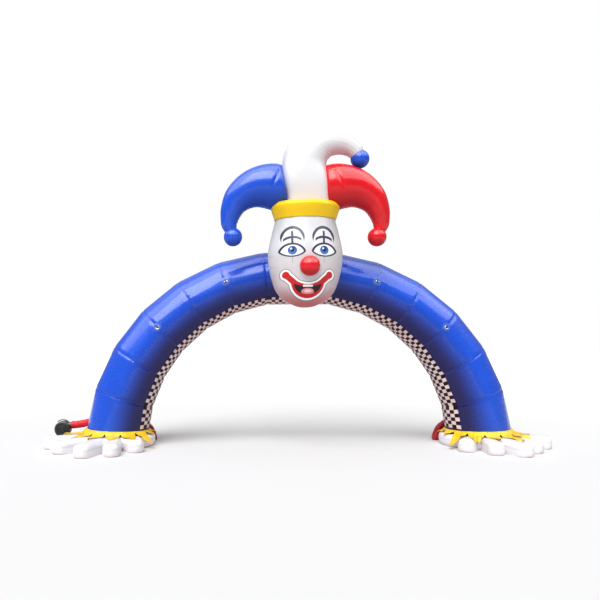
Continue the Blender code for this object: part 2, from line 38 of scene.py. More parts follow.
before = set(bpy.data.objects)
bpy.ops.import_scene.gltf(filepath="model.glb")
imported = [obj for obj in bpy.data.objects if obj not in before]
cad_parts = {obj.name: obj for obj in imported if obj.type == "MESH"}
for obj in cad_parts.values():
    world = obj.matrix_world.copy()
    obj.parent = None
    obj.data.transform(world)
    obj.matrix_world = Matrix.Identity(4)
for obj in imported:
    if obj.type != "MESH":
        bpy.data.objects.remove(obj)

# The arch's own middle on the ground
AT = np.array((0.07, 0.38, 0.0))

# Tube
TURN = radians(13.0)
CROWN_Z = 3.71
LEVEL_HALF = 0.705
SEGMENT_LENGTH = 0.87
SEAM_RADII = (0.497, 0.508, 0.524, 0.543, 0.561, 0.576)
FOOT_RADIUS = 0.587
FOOT_Z = 0.2303
SEGMENTS = 13
MIDDLE = SEGMENTS // 2
LAST_SEAM = len(SEAM_RADII) - 1
FOOT_LEAN = pi / 2 - TURN * (LAST_SEAM + 1)

# Chequer
PANEL_HALF_ANGLE = radians(42.0)
PANEL_FOOT_Z = 0.345
CELL = 0.065
COLUMNS = 8

# Head and hat, from the head's own axis
HEAD_Y = -0.95
HEAD_DEPTH = 0.88
HORN_DEPTH = 0.92
HEAD_PROFILE = (
    (2.612, 0.004),
    (2.617, 0.070),
    (2.632, 0.150),
    (2.665, 0.235),
    (2.712, 0.325),
    (2.765, 0.405),
    (2.835, 0.475),
    (2.930, 0.537),
    (3.067, 0.588),
    (3.202, 0.624),
    (3.345, 0.652),
    (3.510, 0.667),
    (3.640, 0.655),
    (3.780, 0.628),
    (3.920, 0.596),
    (4.050, 0.563),
    (4.165, 0.531),
)
BAND_PROFILE = (
    (4.1660, 0.470),
    (4.1656, 0.537),
    (4.1720, 0.547),
    (4.1850, 0.552),
    (4.2500, 0.573),
    (4.3300, 0.600),
    (4.3800, 0.613),
    (4.4000, 0.612),
    (4.4300, 0.594),
    (4.4520, 0.575),
    (4.4600, 0.562),
    (4.4600, 0.350),
)
WHITE_HORN = (
    (-0.330, 4.300, 0.400, 4.300),
    (-0.345, 4.550, 0.415, 4.530),
    (-0.400, 4.780, 0.410, 4.750),
    (-0.422, 4.990, 0.390, 4.950),
    (-0.402, 5.220, 0.376, 5.100),
    (-0.343, 5.442, 0.385, 5.215),
    (-0.190, 5.620, 0.420, 5.285),
    (0.020, 5.737, 0.473, 5.330),
    (0.250, 5.790, 0.540, 5.352),
    (0.473, 5.803, 0.610, 5.360),
    (0.657, 5.771, 0.680, 5.355),
    (0.820, 5.690, 0.750, 5.335),
    (0.940, 5.585, 0.800, 5.305),
    (1.015, 5.500, 0.835, 5.280),
    (1.045, 5.420, 0.860, 5.262),
)
SIDE_HORN = (
    (-0.100, 4.980, -0.200, 4.360),
    (-0.240, 5.100, -0.400, 4.360),
    (-0.411, 5.165, -0.500, 4.362),
    (-0.620, 5.185, -0.620, 4.370),
    (-0.850, 5.145, -0.740, 4.400),
    (-1.075, 5.048, -0.860, 4.416),
    (-1.278, 4.884, -0.980, 4.390),
    (-1.430, 4.672, -1.085, 4.335),
    (-1.508, 4.405, -1.165, 4.230),
    (-1.515, 4.200, -1.210, 4.140),
    (-1.495, 4.060, -1.230, 4.050),
    (-1.420, 3.940, -1.180, 3.940),
)
# Where a side horn's sewn edge runs, from the axis outwards, at its high and low end
SEWN_EDGES = {1: (-0.459, -0.366), -1: (-0.345, -0.372)}
SEWN_HIGH_Z = 5.056
SEWN_LOW_Z = 4.440
BALL_RADIUS = 0.166
WHITE_BALL = (0.985, 5.275)
SIDE_BALL = (-1.292, 3.876)
NOSE_RADIUS = 0.175
NOSE_Y = -0.60
NOSE_Z = 3.30
FACE_X = -0.018

# Gloves and cuffs
PALM_RADIUS = 0.73
LEFT_FINGERS = (
    (-28.0, 1.10, 0.155),
    (-3.0, 1.40, 0.150),
    (17.0, 1.58, 0.155),
    (42.0, 1.48, 0.155),
    (67.0, 1.42, 0.165),
)
RIGHT_FINGERS = (
    (-34.0, 1.12, 0.150),
    (-7.5, 1.27, 0.145),
    (12.5, 1.46, 0.150),
    (33.5, 1.28, 0.150),
    (65.0, 1.27, 0.160),
)
# Height of a glove's rim, rise of its knuckles and how far in from the rim it swells
EDGE_Z = 0.113
KNUCKLE = 0.006
PUFF = 0.100
# A glove's side from the sole up: height and inset
GLOVE_SIDE = ((0.0, 0.042), (0.008, 0.028), (0.022, 0.016), (0.042, 0.008), (0.066, 0.003), (0.090, 0.001))
CUFF_INNER_Z = 0.335
CUFF_TIP = 1.08
CUFF_SHORT = 0.65
CUFF_NOTCH = 0.635
CUFF_LIFT = 0.006
# How far a petal sinks past the glove's edge, and over what run
CUFF_DROOP = 0.16
CUFF_DROOP_RUN = 0.13
CUFF_PETALS = 14

# Air supply
BLOWER_X = -4.66
BLOWER_Y = 0.45
DRUM_RADIUS = 0.155
DRUM_WIDTH = 0.24
DRUM_Z = 0.2353
TIED_SLEEVE = (
    (-146.0, 0.500, 0.485, 0.500, 0.365, 0.068),
    (-146.0, 0.610, 0.472, 0.610, 0.352, 0.076),
    (-145.0, 0.715, 0.430, 0.678, 0.326, 0.090),
    (-142.5, 0.800, 0.360, 0.712, 0.262, 0.104),
    (-139.0, 0.862, 0.275, 0.738, 0.200, 0.113),
    (-136.0, 0.903, 0.180, 0.752, 0.142, 0.118),
    (-133.5, 0.922, 0.092, 0.756, 0.076, 0.116),
    (-132.0, 0.922, 0.028, 0.750, 0.024, 0.110),
    (-132.0, 0.905, 0.002, 0.765, 0.002, 0.098),
)
INLET_SLEEVE = (
    (-4.495, 0.450, 0.315, 0.066),
    (-4.470, 0.450, 0.315, 0.073),
    (-4.380, 0.447, 0.320, 0.071),
    (-4.270, 0.430, 0.340, 0.072),
    (-4.150, 0.390, 0.372, 0.071),
    (-4.030, 0.330, 0.405, 0.067),
    (-3.900, 0.250, 0.420, 0.066),
)

# Tie points: seam from the crown down, side, name
TIES = ((1, -1, "left_high"), (3, -1, "left_low"), (1, 1, "right_high"), (3, 1, "right_low"))
TIE_ANGLE = -(pi / 2 + 0.18)
PATCH_RADIUS = 0.08


# Sizes and colours that a user would change


class ArchSizes(bpy.types.PropertyGroup):
    """Sizes of the cloth's fine shapes."""

    pinch: bpy.props.FloatProperty(
        name="Seam pinch",
        description="How far the tube draws in at a seam",
        default=0.010,
        subtype="DISTANCE",
    )
    pucker: bpy.props.FloatProperty(
        name="Pucker", description="Height of the puckers beside a seam", default=0.0065, subtype="DISTANCE"
    )
    pucker_run: bpy.props.FloatProperty(
        name="Pucker run", description="How far the puckers run from a seam", default=0.10, subtype="DISTANCE"
    )
    stitch: bpy.props.FloatProperty(
        name="Stitch length", description="Length of one stitch", default=0.013, subtype="DISTANCE"
    )
    stitch_pitch: bpy.props.FloatProperty(
        name="Stitch pitch", description="Distance from stitch to stitch", default=0.019, subtype="DISTANCE"
    )
    thread: bpy.props.FloatProperty(
        name="Thread", description="Radius of the sewing thread", default=0.0012, subtype="DISTANCE"
    )


def colour_property(name, description, default):
    return bpy.props.FloatVectorProperty(
        name=name, description=description, default=default, subtype="COLOR", size=3, min=0.0, max=1.0
    )


class ArchColours(bpy.types.PropertyGroup):
    """Colours of the cloth."""

    blue: colour_property("Blue", "Tube, one horn and two balls", (0.010, 0.080, 0.62))
    # Painted shade that darkens the tube's inner side.
    inner_shade: colour_property("Navy", "The tube's shaded inner side", (0.006, 0.004, 0.075))
    white: colour_property("White", "Head, gloves and middle horn", (0.80, 0.80, 0.82))
    red: colour_property("Red", "Nose, one horn and its ball", (0.74, 0.005, 0.012))
    yellow: colour_property("Yellow", "Hat band and cuffs", (0.98, 0.62, 0.002))
    sleeve: colour_property("Sleeve", "Inflation and tied-off sleeves", (0.34, 0.006, 0.010))
    black: colour_property("Black", "Chequers, webbing and blower", (0.012, 0.012, 0.014))


# Shader maths


class Wire:
    """An output of a shader node that takes part in sums."""

    def __init__(self, paint, socket):
        self.paint = paint
        self.socket = socket

    def __add__(self, other):
        return self.paint.maths("ADD", self, other)

    def __sub__(self, other):
        return self.paint.maths("SUBTRACT", self, other)

    def __rsub__(self, other):
        return self.paint.maths("SUBTRACT", other, self)

    def __mul__(self, other):
        return self.paint.maths("MULTIPLY", self, other)

    def __truediv__(self, other):
        return self.paint.maths("DIVIDE", self, other)

    def __rtruediv__(self, other):
        return self.paint.maths("DIVIDE", other, self)

    def __pow__(self, other):
        return self.paint.maths("POWER", self, other)

    def __abs__(self):
        return self.paint.maths("ABSOLUTE", self)

    def __neg__(self):
        return self.paint.maths("MULTIPLY", self, -1.0)

    __radd__ = __add__
    __rmul__ = __mul__


def find_socket(sockets, key):
    """The socket with this identifier or, failing that, the first enabled one with this name."""
    for socket in sockets:
        if socket.identifier == key:
            return socket
    for socket in sockets:
        if socket.name == key and socket.enabled:
            return socket
    raise KeyError(key)


class Paint:
    """A node-based material that is being mixed."""

    def __init__(self, name, roughness=0.3, coat=0.0):
        self.material = bpy.data.materials.new(name)
        self.material.use_nodes = True
        self.tree = self.material.node_tree
        self.shader = self.tree.nodes["Principled BSDF"]
        self.set(Roughness=roughness, Coat_Weight=coat)

    def node(self, kind, settings=(), values=(), output=0):
        """Adds any node: its settings first, then the values or links of its sockets."""
        made = self.tree.nodes.new(kind)
        for key, value in dict(settings).items():
            setattr(made, key, value)
        for key, value in dict(values).items():
            self.plug(find_socket(made.inputs, key), value)
        sockets = made.outputs
        return Wire(self, sockets[output] if isinstance(output, int) else find_socket(sockets, output))

    def plug(self, socket, value):
        if isinstance(value, Wire):
            self.tree.links.new(value.socket, socket)
        elif socket.type == "RGBA" and len(value) == 3:
            socket.default_value = (*value, 1.0)
        else:
            socket.default_value = value

    def set(self, **values):
        for key, value in values.items():
            self.plug(self.shader.inputs[key.replace("_", " ")], value)

    def maths(self, operation, first, second=0.0):
        return self.node("ShaderNodeMath", {"operation": operation}, {"Value": first, "Value_001": second})

    def least(self, first, second):
        return self.maths("MINIMUM", first, second)

    def most(self, first, second):
        return self.maths("MAXIMUM", first, second)

    def root(self, value):
        return self.maths("SQRT", self.most(value, 0.0))

    def soft(self, value, low, high):
        """0 below low and 1 above high, with a smooth step between."""
        return self.node(
            "ShaderNodeMapRange",
            {"interpolation_type": "SMOOTHSTEP", "clamp": True},
            {"Value": value, "From Min": low, "From Max": high, "To Min": 0.0, "To Max": 1.0},
        )

    def inside(self, distance, blur=0.003):
        """1 where a distance is below nothing, 0 outside."""
        return 1.0 - self.soft(distance, -blur, blur)

    def mix(self, factor, first, second, blend="MIX"):
        return self.node(
            "ShaderNodeMix",
            {"data_type": "RGBA", "blend_type": blend},
            {"Factor_Float": factor, "A_Color": first, "B_Color": second},
            "Result_Color",
        )

    def place(self):
        return self.node("ShaderNodeTexCoord", output="Object")

    def attribute(self, name):
        return self.node("ShaderNodeAttribute", {"attribute_name": name}, output="Fac")

    def axes(self, vector):
        made = self.node("ShaderNodeSeparateXYZ", {}, {"Vector": vector}).socket.node
        return [Wire(self, made.outputs[i]) for i in range(3)]

    def noise(self, scale, detail=3.0, vector=None, rough=0.5):
        values = {"Scale": scale, "Detail": detail, "Roughness": rough, "Vector": vector or self.place()}
        return self.node("ShaderNodeTexNoise", {}, values, "Fac")

    def bump(self, height, distance, strength=1.0, normal=None):
        values = {"Height": height, "Distance": distance, "Strength": strength}
        if normal:
            values["Normal"] = normal
        return self.node("ShaderNodeBump", {}, values, "Normal")


def cloth_grain(paint, coarse=0.004):
    """Bump of coated cloth: long soft waves, then the base cloth showing through."""
    waves = paint.noise(2.2, 2.0)
    dents = paint.noise(9.0, 3.0)
    x, y, z = paint.axes(paint.place())
    warp = paint.maths("SINE", (x + z) * (2 * pi / coarse))
    weft = paint.maths("SINE", (y - z * 0.6) * (2 * pi / coarse))
    soft = paint.bump(waves, 0.010, 0.14)
    crumple = paint.bump(dents, 0.003, 0.25, soft)
    return paint.bump(warp * weft, 0.0002, 0.5, crumple)


def vinyl(name, colour, roughness=0.24, coat=0.3, shade=0.86, underside_shade=None):
    """Glossy coated cloth with soft handling marks; painted shade darkens it where it faces the ground, and it
    is duller there.
    """
    paint = Paint(name, roughness)
    marks = paint.soft(paint.noise(1.6, 4.0, rough=0.6), 0.35, 0.75)
    dust = paint.soft(paint.noise(24.0, 5.0, rough=0.7), 0.45, 0.85)
    darker = tuple(c * shade for c in colour)
    dusty = tuple(c * 0.9 + 0.05 for c in colour)
    below = paint.attribute("below")
    base = paint.mix(marks, colour, darker)
    base = paint.mix(dust * 0.08, base, dusty)
    # Painted shade: the colour turns towards the underside shade colour where the surface faces the ground.
    base = paint.mix(below * 0.8, base, underside_shade or tuple(c * 0.45 for c in colour))
    paint.set(
        Base_Color=base,
        Roughness=roughness + dust * 0.12 + marks * 0.04 + below * 0.2,
        Coat_Weight=coat - below * coat,
        Normal=cloth_grain(paint),
        Coat_Roughness=0.05,
        Specular_IOR_Level=0.25,
    )
    paint.base = base
    return paint


# Mesh making


def grid(name, points, closed=False, caps=False, uv=None):
    """A mesh over rows of points; closed joins each row's ends, and caps fills the first and last rows."""
    rows, across = points.shape[:2]
    vertices = (points + AT).reshape(-1, 3)
    i, j = np.meshgrid(np.arange(rows - 1), np.arange(across if closed else across - 1), indexing="ij")
    k = (j + 1) % across
    faces = np.stack([i * across + j, i * across + k, (i + 1) * across + k, (i + 1) * across + j], -1)
    polygons = faces.reshape(-1, 4).tolist()
    if caps:
        polygons.append(list(range(across))[::-1])
        polygons.append([(rows - 1) * across + n for n in range(across)])
    mesh = bpy.data.meshes.new(name)
    mesh.from_pydata(vertices.tolist(), [], polygons)
    if uv is not None:
        layer = mesh.uv_layers.new(name="UVMap")
        flat = uv.reshape(-1, 2)[[loop.vertex_index for loop in mesh.loops]]
        layer.data.foreach_set("uv", flat.ravel())
    obj = bpy.data.objects.new(name, mesh)
    bpy.context.scene.collection.objects.link(obj)
    return obj


def surface_area(points):
    """Area of a grid of points."""
    first = points[1:, 1:] - points[:-1, :-1]
    second = points[1:, :-1] - points[:-1, 1:]
    return np.linalg.norm(np.cross(first, second), axis=-1).sum() / 2


def outward(obj):
    """Weld, turn a closed mesh's faces outwards, shade it smooth and store how far it faces the ground for the
    painted underside shade.
    """
    work = bmesh.new()
    work.from_mesh(obj.data)
    bmesh.ops.remove_doubles(work, verts=work.verts, dist=0.00001)
    bmesh.ops.recalc_face_normals(work, faces=work.faces)
    work.to_mesh(obj.data)
    work.free()
    obj.data.shade_smooth()
    obj.data.set_sharp_from_angle(angle=radians(50.0))
    # Painted shade: the more a vertex faces the ground, the darker vinyl() paints it.
    down = np.array([-vertex.normal.z for vertex in obj.data.vertices])
    store(obj, "below", np.clip((down + 0.15) / 0.95, 0, 1) ** 1.3)


def face_away(obj, centre):
    """Turn an open sheet's faces away from a point."""
    work = bmesh.new()
    work.from_mesh(obj.data)
    work.normal_update()
    away = sum(f.normal.dot(f.calc_center_median() - centre) * f.calc_area() for f in work.faces)
    if away < 0:
        bmesh.ops.reverse_faces(work, faces=work.faces)
    work.to_mesh(obj.data)
    work.free()
    obj.data.shade_smooth()


def thicken(obj, thickness, offset=1.0):
    modifier = obj.modifiers.new("cloth", "SOLIDIFY")
    modifier.thickness = thickness
    modifier.offset = offset


def store(obj, name, values):
    """Keep one number for each vertex as a named attribute."""
    attribute = obj.data.attributes.new(name, "FLOAT", "POINT")
    attribute.data.foreach_set("value", np.asarray(values, np.float32).ravel())


def bake(obj):
    """Swap an object's modifiers for their result."""
    bpy.context.view_layer.update()
    graph = bpy.context.evaluated_depsgraph_get()
    mesh = bpy.data.meshes.new_from_object(obj.evaluated_get(graph))
    obj.modifiers.clear()
    obj.data = mesh


def finish_piece(obj, material, slot, *nodes):
    if material:
        obj.data.materials.clear()
        obj.data.materials.append(material)
    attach(obj, "root")
    if nodes:
        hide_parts(*nodes)
    return obj


def smooth_table(table, count):
    """A table's rows read along a smooth curve through them at count even steps of its length."""
    rows = np.array(table, float)
    rows = np.vstack([2 * rows[0] - rows[1], rows, 2 * rows[-1] - rows[-2]])
    spans = len(table) - 1
    run = np.concatenate([[0], np.cumsum(np.linalg.norm(np.diff(np.array(table, float), axis=0), axis=1))])
    place = np.interp(np.linspace(0, run[-1], count), run, np.arange(spans + 1))
    i = np.minimum(place.astype(int), spans - 1)
    t = (place - i)[:, None]
    p0, p1, p2, p3 = rows[i], rows[i + 1], rows[i + 2], rows[i + 3]
    square = (2 * p0 - 5 * p1 + 4 * p2 - p3) * t**2
    cube = (3 * p1 - p0 - 3 * p2 + p3) * t**3
    return 0.5 * (2 * p1 + (p2 - p0) * t + square + cube)


def ripple(angle, seed, waves=(31, 47, 73)):
    """A wave of uneven folds round a closed ring, between -1 and 1."""
    total = np.zeros(np.shape(angle))
    for n, wave in enumerate(waves):
        total = total + np.sin(wave * angle + seed * (2.1 + n) + n) / (1 + 0.4 * n)
    return total / sum(1 / (1 + 0.4 * n) for n in range(len(waves)))


# The tube's surface


def seam_ring(k, angle, lift=0.0, foot_z=FOOT_Z):
    """Points round seam k of the right half, counted from the crown; angle 0 is the arch's inner side."""
    x = LEVEL_HALF + SEGMENT_LENGTH * sum(cos(TURN * (i + 1)) for i in range(min(k, LAST_SEAM)))
    z = CROWN_Z - SEGMENT_LENGTH * sum(sin(TURN * (i + 1)) for i in range(min(k, LAST_SEAM)))
    if k <= LAST_SEAM:
        tilt = TURN * (k + 0.5)
        out = np.array((sin(tilt), 0.0, cos(tilt)))
        depth = SEAM_RADII[k]
        reach = depth / cos(TURN / 2)
    else:
        fall = (z - foot_z) / (z - FOOT_Z)
        x += (z - foot_z) * tan(FOOT_LEAN)
        z = foot_z
        out = np.array((1.0, 0.0, 0.0))
        depth = SEAM_RADII[LAST_SEAM] + (FOOT_RADIUS - SEAM_RADII[LAST_SEAM]) * fall
        reach = depth / cos(FOOT_LEAN)
    centre = np.array((x, 0.0, z)) - out * reach
    angle = np.asarray(angle, float)[..., None]
    rearward = np.array((0, 1.0, 0)) * (depth + lift) * np.sin(angle)
    return centre - out * (reach + lift) * np.cos(angle) + rearward


def segment_ends(number, angle, lift=0.0):
    """The two end rings of a segment, numbered from the left foot, and the numbers of its seams."""
    side = np.sign(number - MIDDLE)
    if side == 0:
        right = seam_ring(0, angle, lift)
        return right * (-1, 1, 1), right, MIDDLE - 1, MIDDLE
    k = abs(number - MIDDLE) - 1
    upper = number if side < 0 else number - 1
    lower = number - 1 if side < 0 else number
    turn = (side, 1, 1)
    return seam_ring(k, angle, lift) * turn, seam_ring(k + 1, angle, lift) * turn, upper, lower


def relief(number, start, end, t, angle, sizes):
    """Height of the pinch and puckers over the plain tube."""
    run = np.linalg.norm(end - start, axis=-1)
    _, _, upper, lower = segment_ends(number, 0.0)
    inner = (1 + np.cos(angle)) / 2
    height = 0.0012 * np.sin(3 * angle + number) * np.sin(pi * t)
    for seam, distance in ((upper, t * run), (lower, (1 - t) * run)):
        if not 0 <= seam < SEGMENTS - 1:
            continue
        height = height - sizes.pinch * np.exp(-((distance / 0.028) ** 2))
        fade = np.exp(-distance / sizes.pucker_run) * (0.30 + 0.70 * inner)
        height = height + sizes.pucker * fade * ripple(angle, seam)
        long = np.exp(-distance / (sizes.pucker_run * 2.4)) * inner
        height = height + sizes.pucker * 0.8 * long * ripple(angle, seam + 5, (11, 17, 23))
    return height


def tube_skin(number, t, angle, lift=0.0):
    """Points on a segment's puckered skin; t runs from its upper or left seam to the other."""
    sizes = bpy.context.scene.arch_sizes
    t, angle = np.broadcast_arrays(np.asarray(t, float), np.asarray(angle, float))
    start, end, _, _ = segment_ends(number, angle)
    start_up, end_up, _, _ = segment_ends(number, angle, 1.0)
    base = start + (end - start) * t[..., None]
    normal = start_up + (end_up - start_up) * t[..., None] - base
    normal /= np.linalg.norm(normal, axis=-1, keepdims=True)
    height = relief(number, start, end, t, angle, sizes) + lift
    return base + normal * height[..., None]


def along_steps(count):
    """Steps from 0 to 1 that crowd towards both ends."""
    return 0.5 - 0.5 * np.cos(np.linspace(0, pi, count))


def segment_seam_distance(number, t, angle):
    start, end, upper, lower = segment_ends(number, angle)
    run = np.linalg.norm(end - start, axis=-1)
    near = np.full(np.shape(t), 9.0)
    for seam, distance in ((upper, t * run), (lower, (1 - t) * run)):
        if 0 <= seam < SEGMENTS - 1:
            near = np.minimum(near, distance)
    return near


# Stitches, made with nodes


def stitch_tree():
    """Geometry nodes that set a row of stitches along the edges of a line mesh."""
    tree = bpy.data.node_groups.new("stitch_rows", "GeometryNodeTree")
    face = tree.interface
    face.new_socket("Geometry", in_out="INPUT", socket_type="NodeSocketGeometry")
    for name in ("Pitch", "Length", "Thread"):
        face.new_socket(name, in_out="INPUT", socket_type="NodeSocketFloat")
    face.new_socket("Material", in_out="INPUT", socket_type="NodeSocketMaterial")
    face.new_socket("Geometry", in_out="OUTPUT", socket_type="NodeSocketGeometry")
    nodes = tree.nodes
    links = tree.links
    source = nodes.new("NodeGroupInput")
    line = nodes.new("GeometryNodeMeshToCurve")
    resample = nodes.new("GeometryNodeResampleCurve")
    resample.mode = "LENGTH"
    ball = nodes.new("GeometryNodeMeshUVSphere")
    ball.inputs["Segments"].default_value = 6
    ball.inputs["Rings"].default_value = 4
    ball.inputs["Radius"].default_value = 1.0
    half = nodes.new("ShaderNodeMath")
    half.operation = "MULTIPLY"
    half.inputs[1].default_value = 0.5
    size = nodes.new("ShaderNodeCombineXYZ")
    shape = nodes.new("GeometryNodeTransform")
    tangent = nodes.new("GeometryNodeInputTangent")
    align = nodes.new("FunctionNodeAlignRotationToVector")
    align.axis = "X"
    scatter = nodes.new("GeometryNodeInstanceOnPoints")
    realize = nodes.new("GeometryNodeRealizeInstances")
    paint = nodes.new("GeometryNodeSetMaterial")
    result = nodes.new("NodeGroupOutput")
    for start, end in (
        (source.outputs["Geometry"], line.inputs["Mesh"]),
        (line.outputs["Curve"], resample.inputs["Curve"]),
        (source.outputs["Pitch"], resample.inputs["Length"]),
        (source.outputs["Length"], half.inputs[0]),
        (half.outputs[0], size.inputs["X"]),
        (source.outputs["Thread"], size.inputs["Y"]),
        (source.outputs["Thread"], size.inputs["Z"]),
        (ball.outputs["Mesh"], shape.inputs["Geometry"]),
        (size.outputs[0], shape.inputs["Scale"]),
        (tangent.outputs[0], align.inputs["Vector"]),
        (resample.outputs["Curve"], scatter.inputs["Points"]),
        (shape.outputs["Geometry"], scatter.inputs["Instance"]),
        (align.outputs[0], scatter.inputs["Rotation"]),
        (scatter.outputs["Instances"], realize.inputs["Geometry"]),
        (realize.outputs["Geometry"], paint.inputs["Geometry"]),
        (source.outputs["Material"], paint.inputs["Material"]),
        (paint.outputs["Geometry"], result.inputs["Geometry"]),
    ):
        links.new(start, end)
    return tree


def stitch_rows(name, lines, material, slot, scale=1.0):
    """A plain mesh of stitches along lines of points; each line says whether it closes."""
    sizes = bpy.context.scene.arch_sizes
    vertices = []
    edges = []
    for points, closed in lines:
        first = len(vertices)
        count = len(points)
        vertices += (points + AT).tolist()
        edges += [(first + i, first + (i + 1) % count) for i in range(count if closed else count - 1)]
    mesh = bpy.data.meshes.new(name)
    mesh.from_pydata(vertices, edges, [])
    obj = bpy.data.objects.new(name, mesh)
    bpy.context.scene.collection.objects.link(obj)
    tree = bpy.data.node_groups.get("stitch_rows") or stitch_tree()
    modifier = obj.modifiers.new("stitches", "NODES")
    modifier.node_group = tree
    wanted = {
        "Pitch": sizes.stitch_pitch * scale,
        "Length": sizes.stitch * scale,
        "Thread": sizes.thread * scale,
        "Material": material,
    }
    for socket in tree.interface.items_tree:
        if socket.in_out == "INPUT" and socket.name in wanted:
            modifier[socket.identifier] = wanted[socket.name]
    bake(obj)
    obj.data.shade_smooth()
    return finish_piece(obj, None, slot)


def thread_material():
    made = bpy.data.materials.get("thread")
    if made:
        return made
    paint = Paint("thread", 0.6)
    fibres = paint.noise(900.0, 2.0)
    paint.set(
        Base_Color=paint.mix(fibres, (0.02, 0.06, 0.40), (0.05, 0.12, 0.60)),
        Normal=paint.bump(fibres, 0.0004),
    )
    return paint.material


# Operators


class ARCH_OT_tube(bpy.types.Operator):
    """Make the thirteen puckered tube segments"""

    bl_idname = "arch.tube"
    bl_label = "Tube"

    def execute(self, context):
        colours = context.scene.arch_colours
        paint = vinyl("tube_vinyl", tuple(colours.blue))
        shade = paint.attribute("inner")
        near = paint.attribute("seam")
        # Painted shade: the tube turns navy towards the arch's inner side.
        base = paint.mix(paint.soft(shade, 0.34, 0.82), paint.base, tuple(colours.inner_shade))
        welded = 1.0 - paint.soft(near, 0.018, 0.024)
        # Painted shade: a dark line along each seam's pinched crease.
        crease = 1.0 - paint.soft(near, 0.000, 0.006)
        base = paint.mix(welded * 0.12, base, (0.006, 0.03, 0.34))
        paint.set(Base_Color=paint.mix(crease * 0.35, base, (0.004, 0.012, 0.16)))
        angles = np.linspace(0, 2 * pi, 192, endpoint=False)
        steps = along_steps(26)
        for number in range(SEGMENTS):
            t = np.clip(steps, 0.0003, 0.9997)[:, None]
            t, angle = np.broadcast_arrays(t, angles)
            obj = grid(f"tube_{number:02d}", tube_skin(number, t, angle), closed=True, caps=True)
            store(obj, "inner", (1 + np.cos(angle)) / 2)
            store(obj, "seam", segment_seam_distance(number, t, angle))
            outward(obj)
            finish_piece(obj, paint.material, "blue_vinyl", f"seg_{number:02d}")
        rows = []
        for number in range(SEGMENTS):
            for t in (0.018, 0.982):
                if (number == 0 or number == SEGMENTS - 1) and t > 0.5:
                    continue
                rows.append((tube_skin(number, t, angles, 0.0004), True))
        stitch_rows("tube_stitches", rows, thread_material(), "blue_vinyl")
        return {"FINISHED"}


class ARCH_OT_chequer(bpy.types.Operator):
    """Make the chequered panels on the inner side of the tube"""

    bl_idname = "arch.chequer"
    bl_label = "Chequer"

    def execute(self, context):
        paint = Paint("chequer_vinyl", 0.45)
        u, v, _ = paint.axes(paint.node("ShaderNodeUVMap", {"uv_map": "UVMap"}))
        _, _, z = paint.axes(paint.place())
        odd = paint.maths("MODULO", paint.maths("FLOOR", u) + paint.maths("FLOOR", v), 2.0)
        worn = paint.soft(paint.noise(7.0, 4.0), 0.35, 0.8)
        # Painted shade: the white cells darken towards the crown, where the inner side faces down.
        shade = 1.0 - paint.soft(z, 1.0, 3.0) * 0.35
        white = paint.mix(worn, (0.78, 0.62, 0.62), (0.66, 0.47, 0.48))
        white = paint.mix(1.0 - shade, white, (0.50, 0.20, 0.20))
        black = paint.mix(worn, (0.005, 0.001, 0.002), (0.014, 0.003, 0.005))
        edge = paint.most(paint.inside(u - 0.10, 0.02), paint.inside(COLUMNS - 0.10 - u, 0.02))
        base = paint.mix(edge, paint.mix(odd, black, white), (0.012, 0.010, 0.05))
        paint.set(
            Base_Color=base,
            Roughness=0.40 + worn * 0.12,
            Normal=cloth_grain(paint),
            Specular_IOR_Level=0.15,
        )
        angles = np.linspace(-PANEL_HALF_ANGLE, PANEL_HALF_ANGLE, 65)
        lines = []
        for number in range(SEGMENTS):
            start, end, _, _ = segment_ends(number, angles)
            last = np.ones(len(angles)) - 0.0008
            if number in (0, SEGMENTS - 1):
                last = (start[:, 2] - PANEL_FOOT_Z) / (start[:, 2] - end[:, 2])
            t = 0.0008 + (last - 0.0008) * along_steps(22)[:, None]
            middle = len(angles) // 2
            run = np.linalg.norm(end[middle] - start[middle]) * (last[middle] - 0.0008)
            cells = round(run / CELL)
            columns = (angles + PANEL_HALF_ANGLE) / (2 * PANEL_HALF_ANGLE) * COLUMNS
            u, v = np.broadcast_arrays(columns[None, :], along_steps(22)[:, None] * cells)
            points = tube_skin(number, t, angles[None, :], 0.0016)
            obj = grid(f"chequer_{number:02d}", points, uv=np.stack([u, v], -1))
            area = surface_area(points)
            tube_core = (tube_skin(number, 0.5, 0.0) + tube_skin(number, 0.5, pi)) / 2 + AT
            face_away(obj, Vector(tube_core.tolist()))
            thicken(obj, 0.0012)
            finish_piece(obj, paint.material, "chequer_vinyl", f"check_{number:02d}")
            for edge_angle in (-PANEL_HALF_ANGLE + 0.02, PANEL_HALF_ANGLE - 0.02):
                place = int(np.abs(angles - edge_angle).argmin())
                lines.append((tube_skin(number, t[:, place], np.full(22, edge_angle), 0.0032), False))
        stitch_rows("chequer_stitches", lines, thread_material(), "chequer_vinyl")
        return {"FINISHED"}


def turned_points(profile, columns):
    """Rings of a profile turned round the head's axis and flattened from front to back."""
    angle = np.linspace(0, 2 * pi, columns, endpoint=False)
    radius = profile[:, 1][:, None]
    x = radius * np.sin(angle)
    y = HEAD_Y - HEAD_DEPTH * radius * np.cos(angle)
    z = np.broadcast_to(profile[:, 0][:, None], x.shape)
    return np.stack([x, y, z], -1), angle


def wrapped(angle):
    return (angle + pi) % (2 * pi) - pi


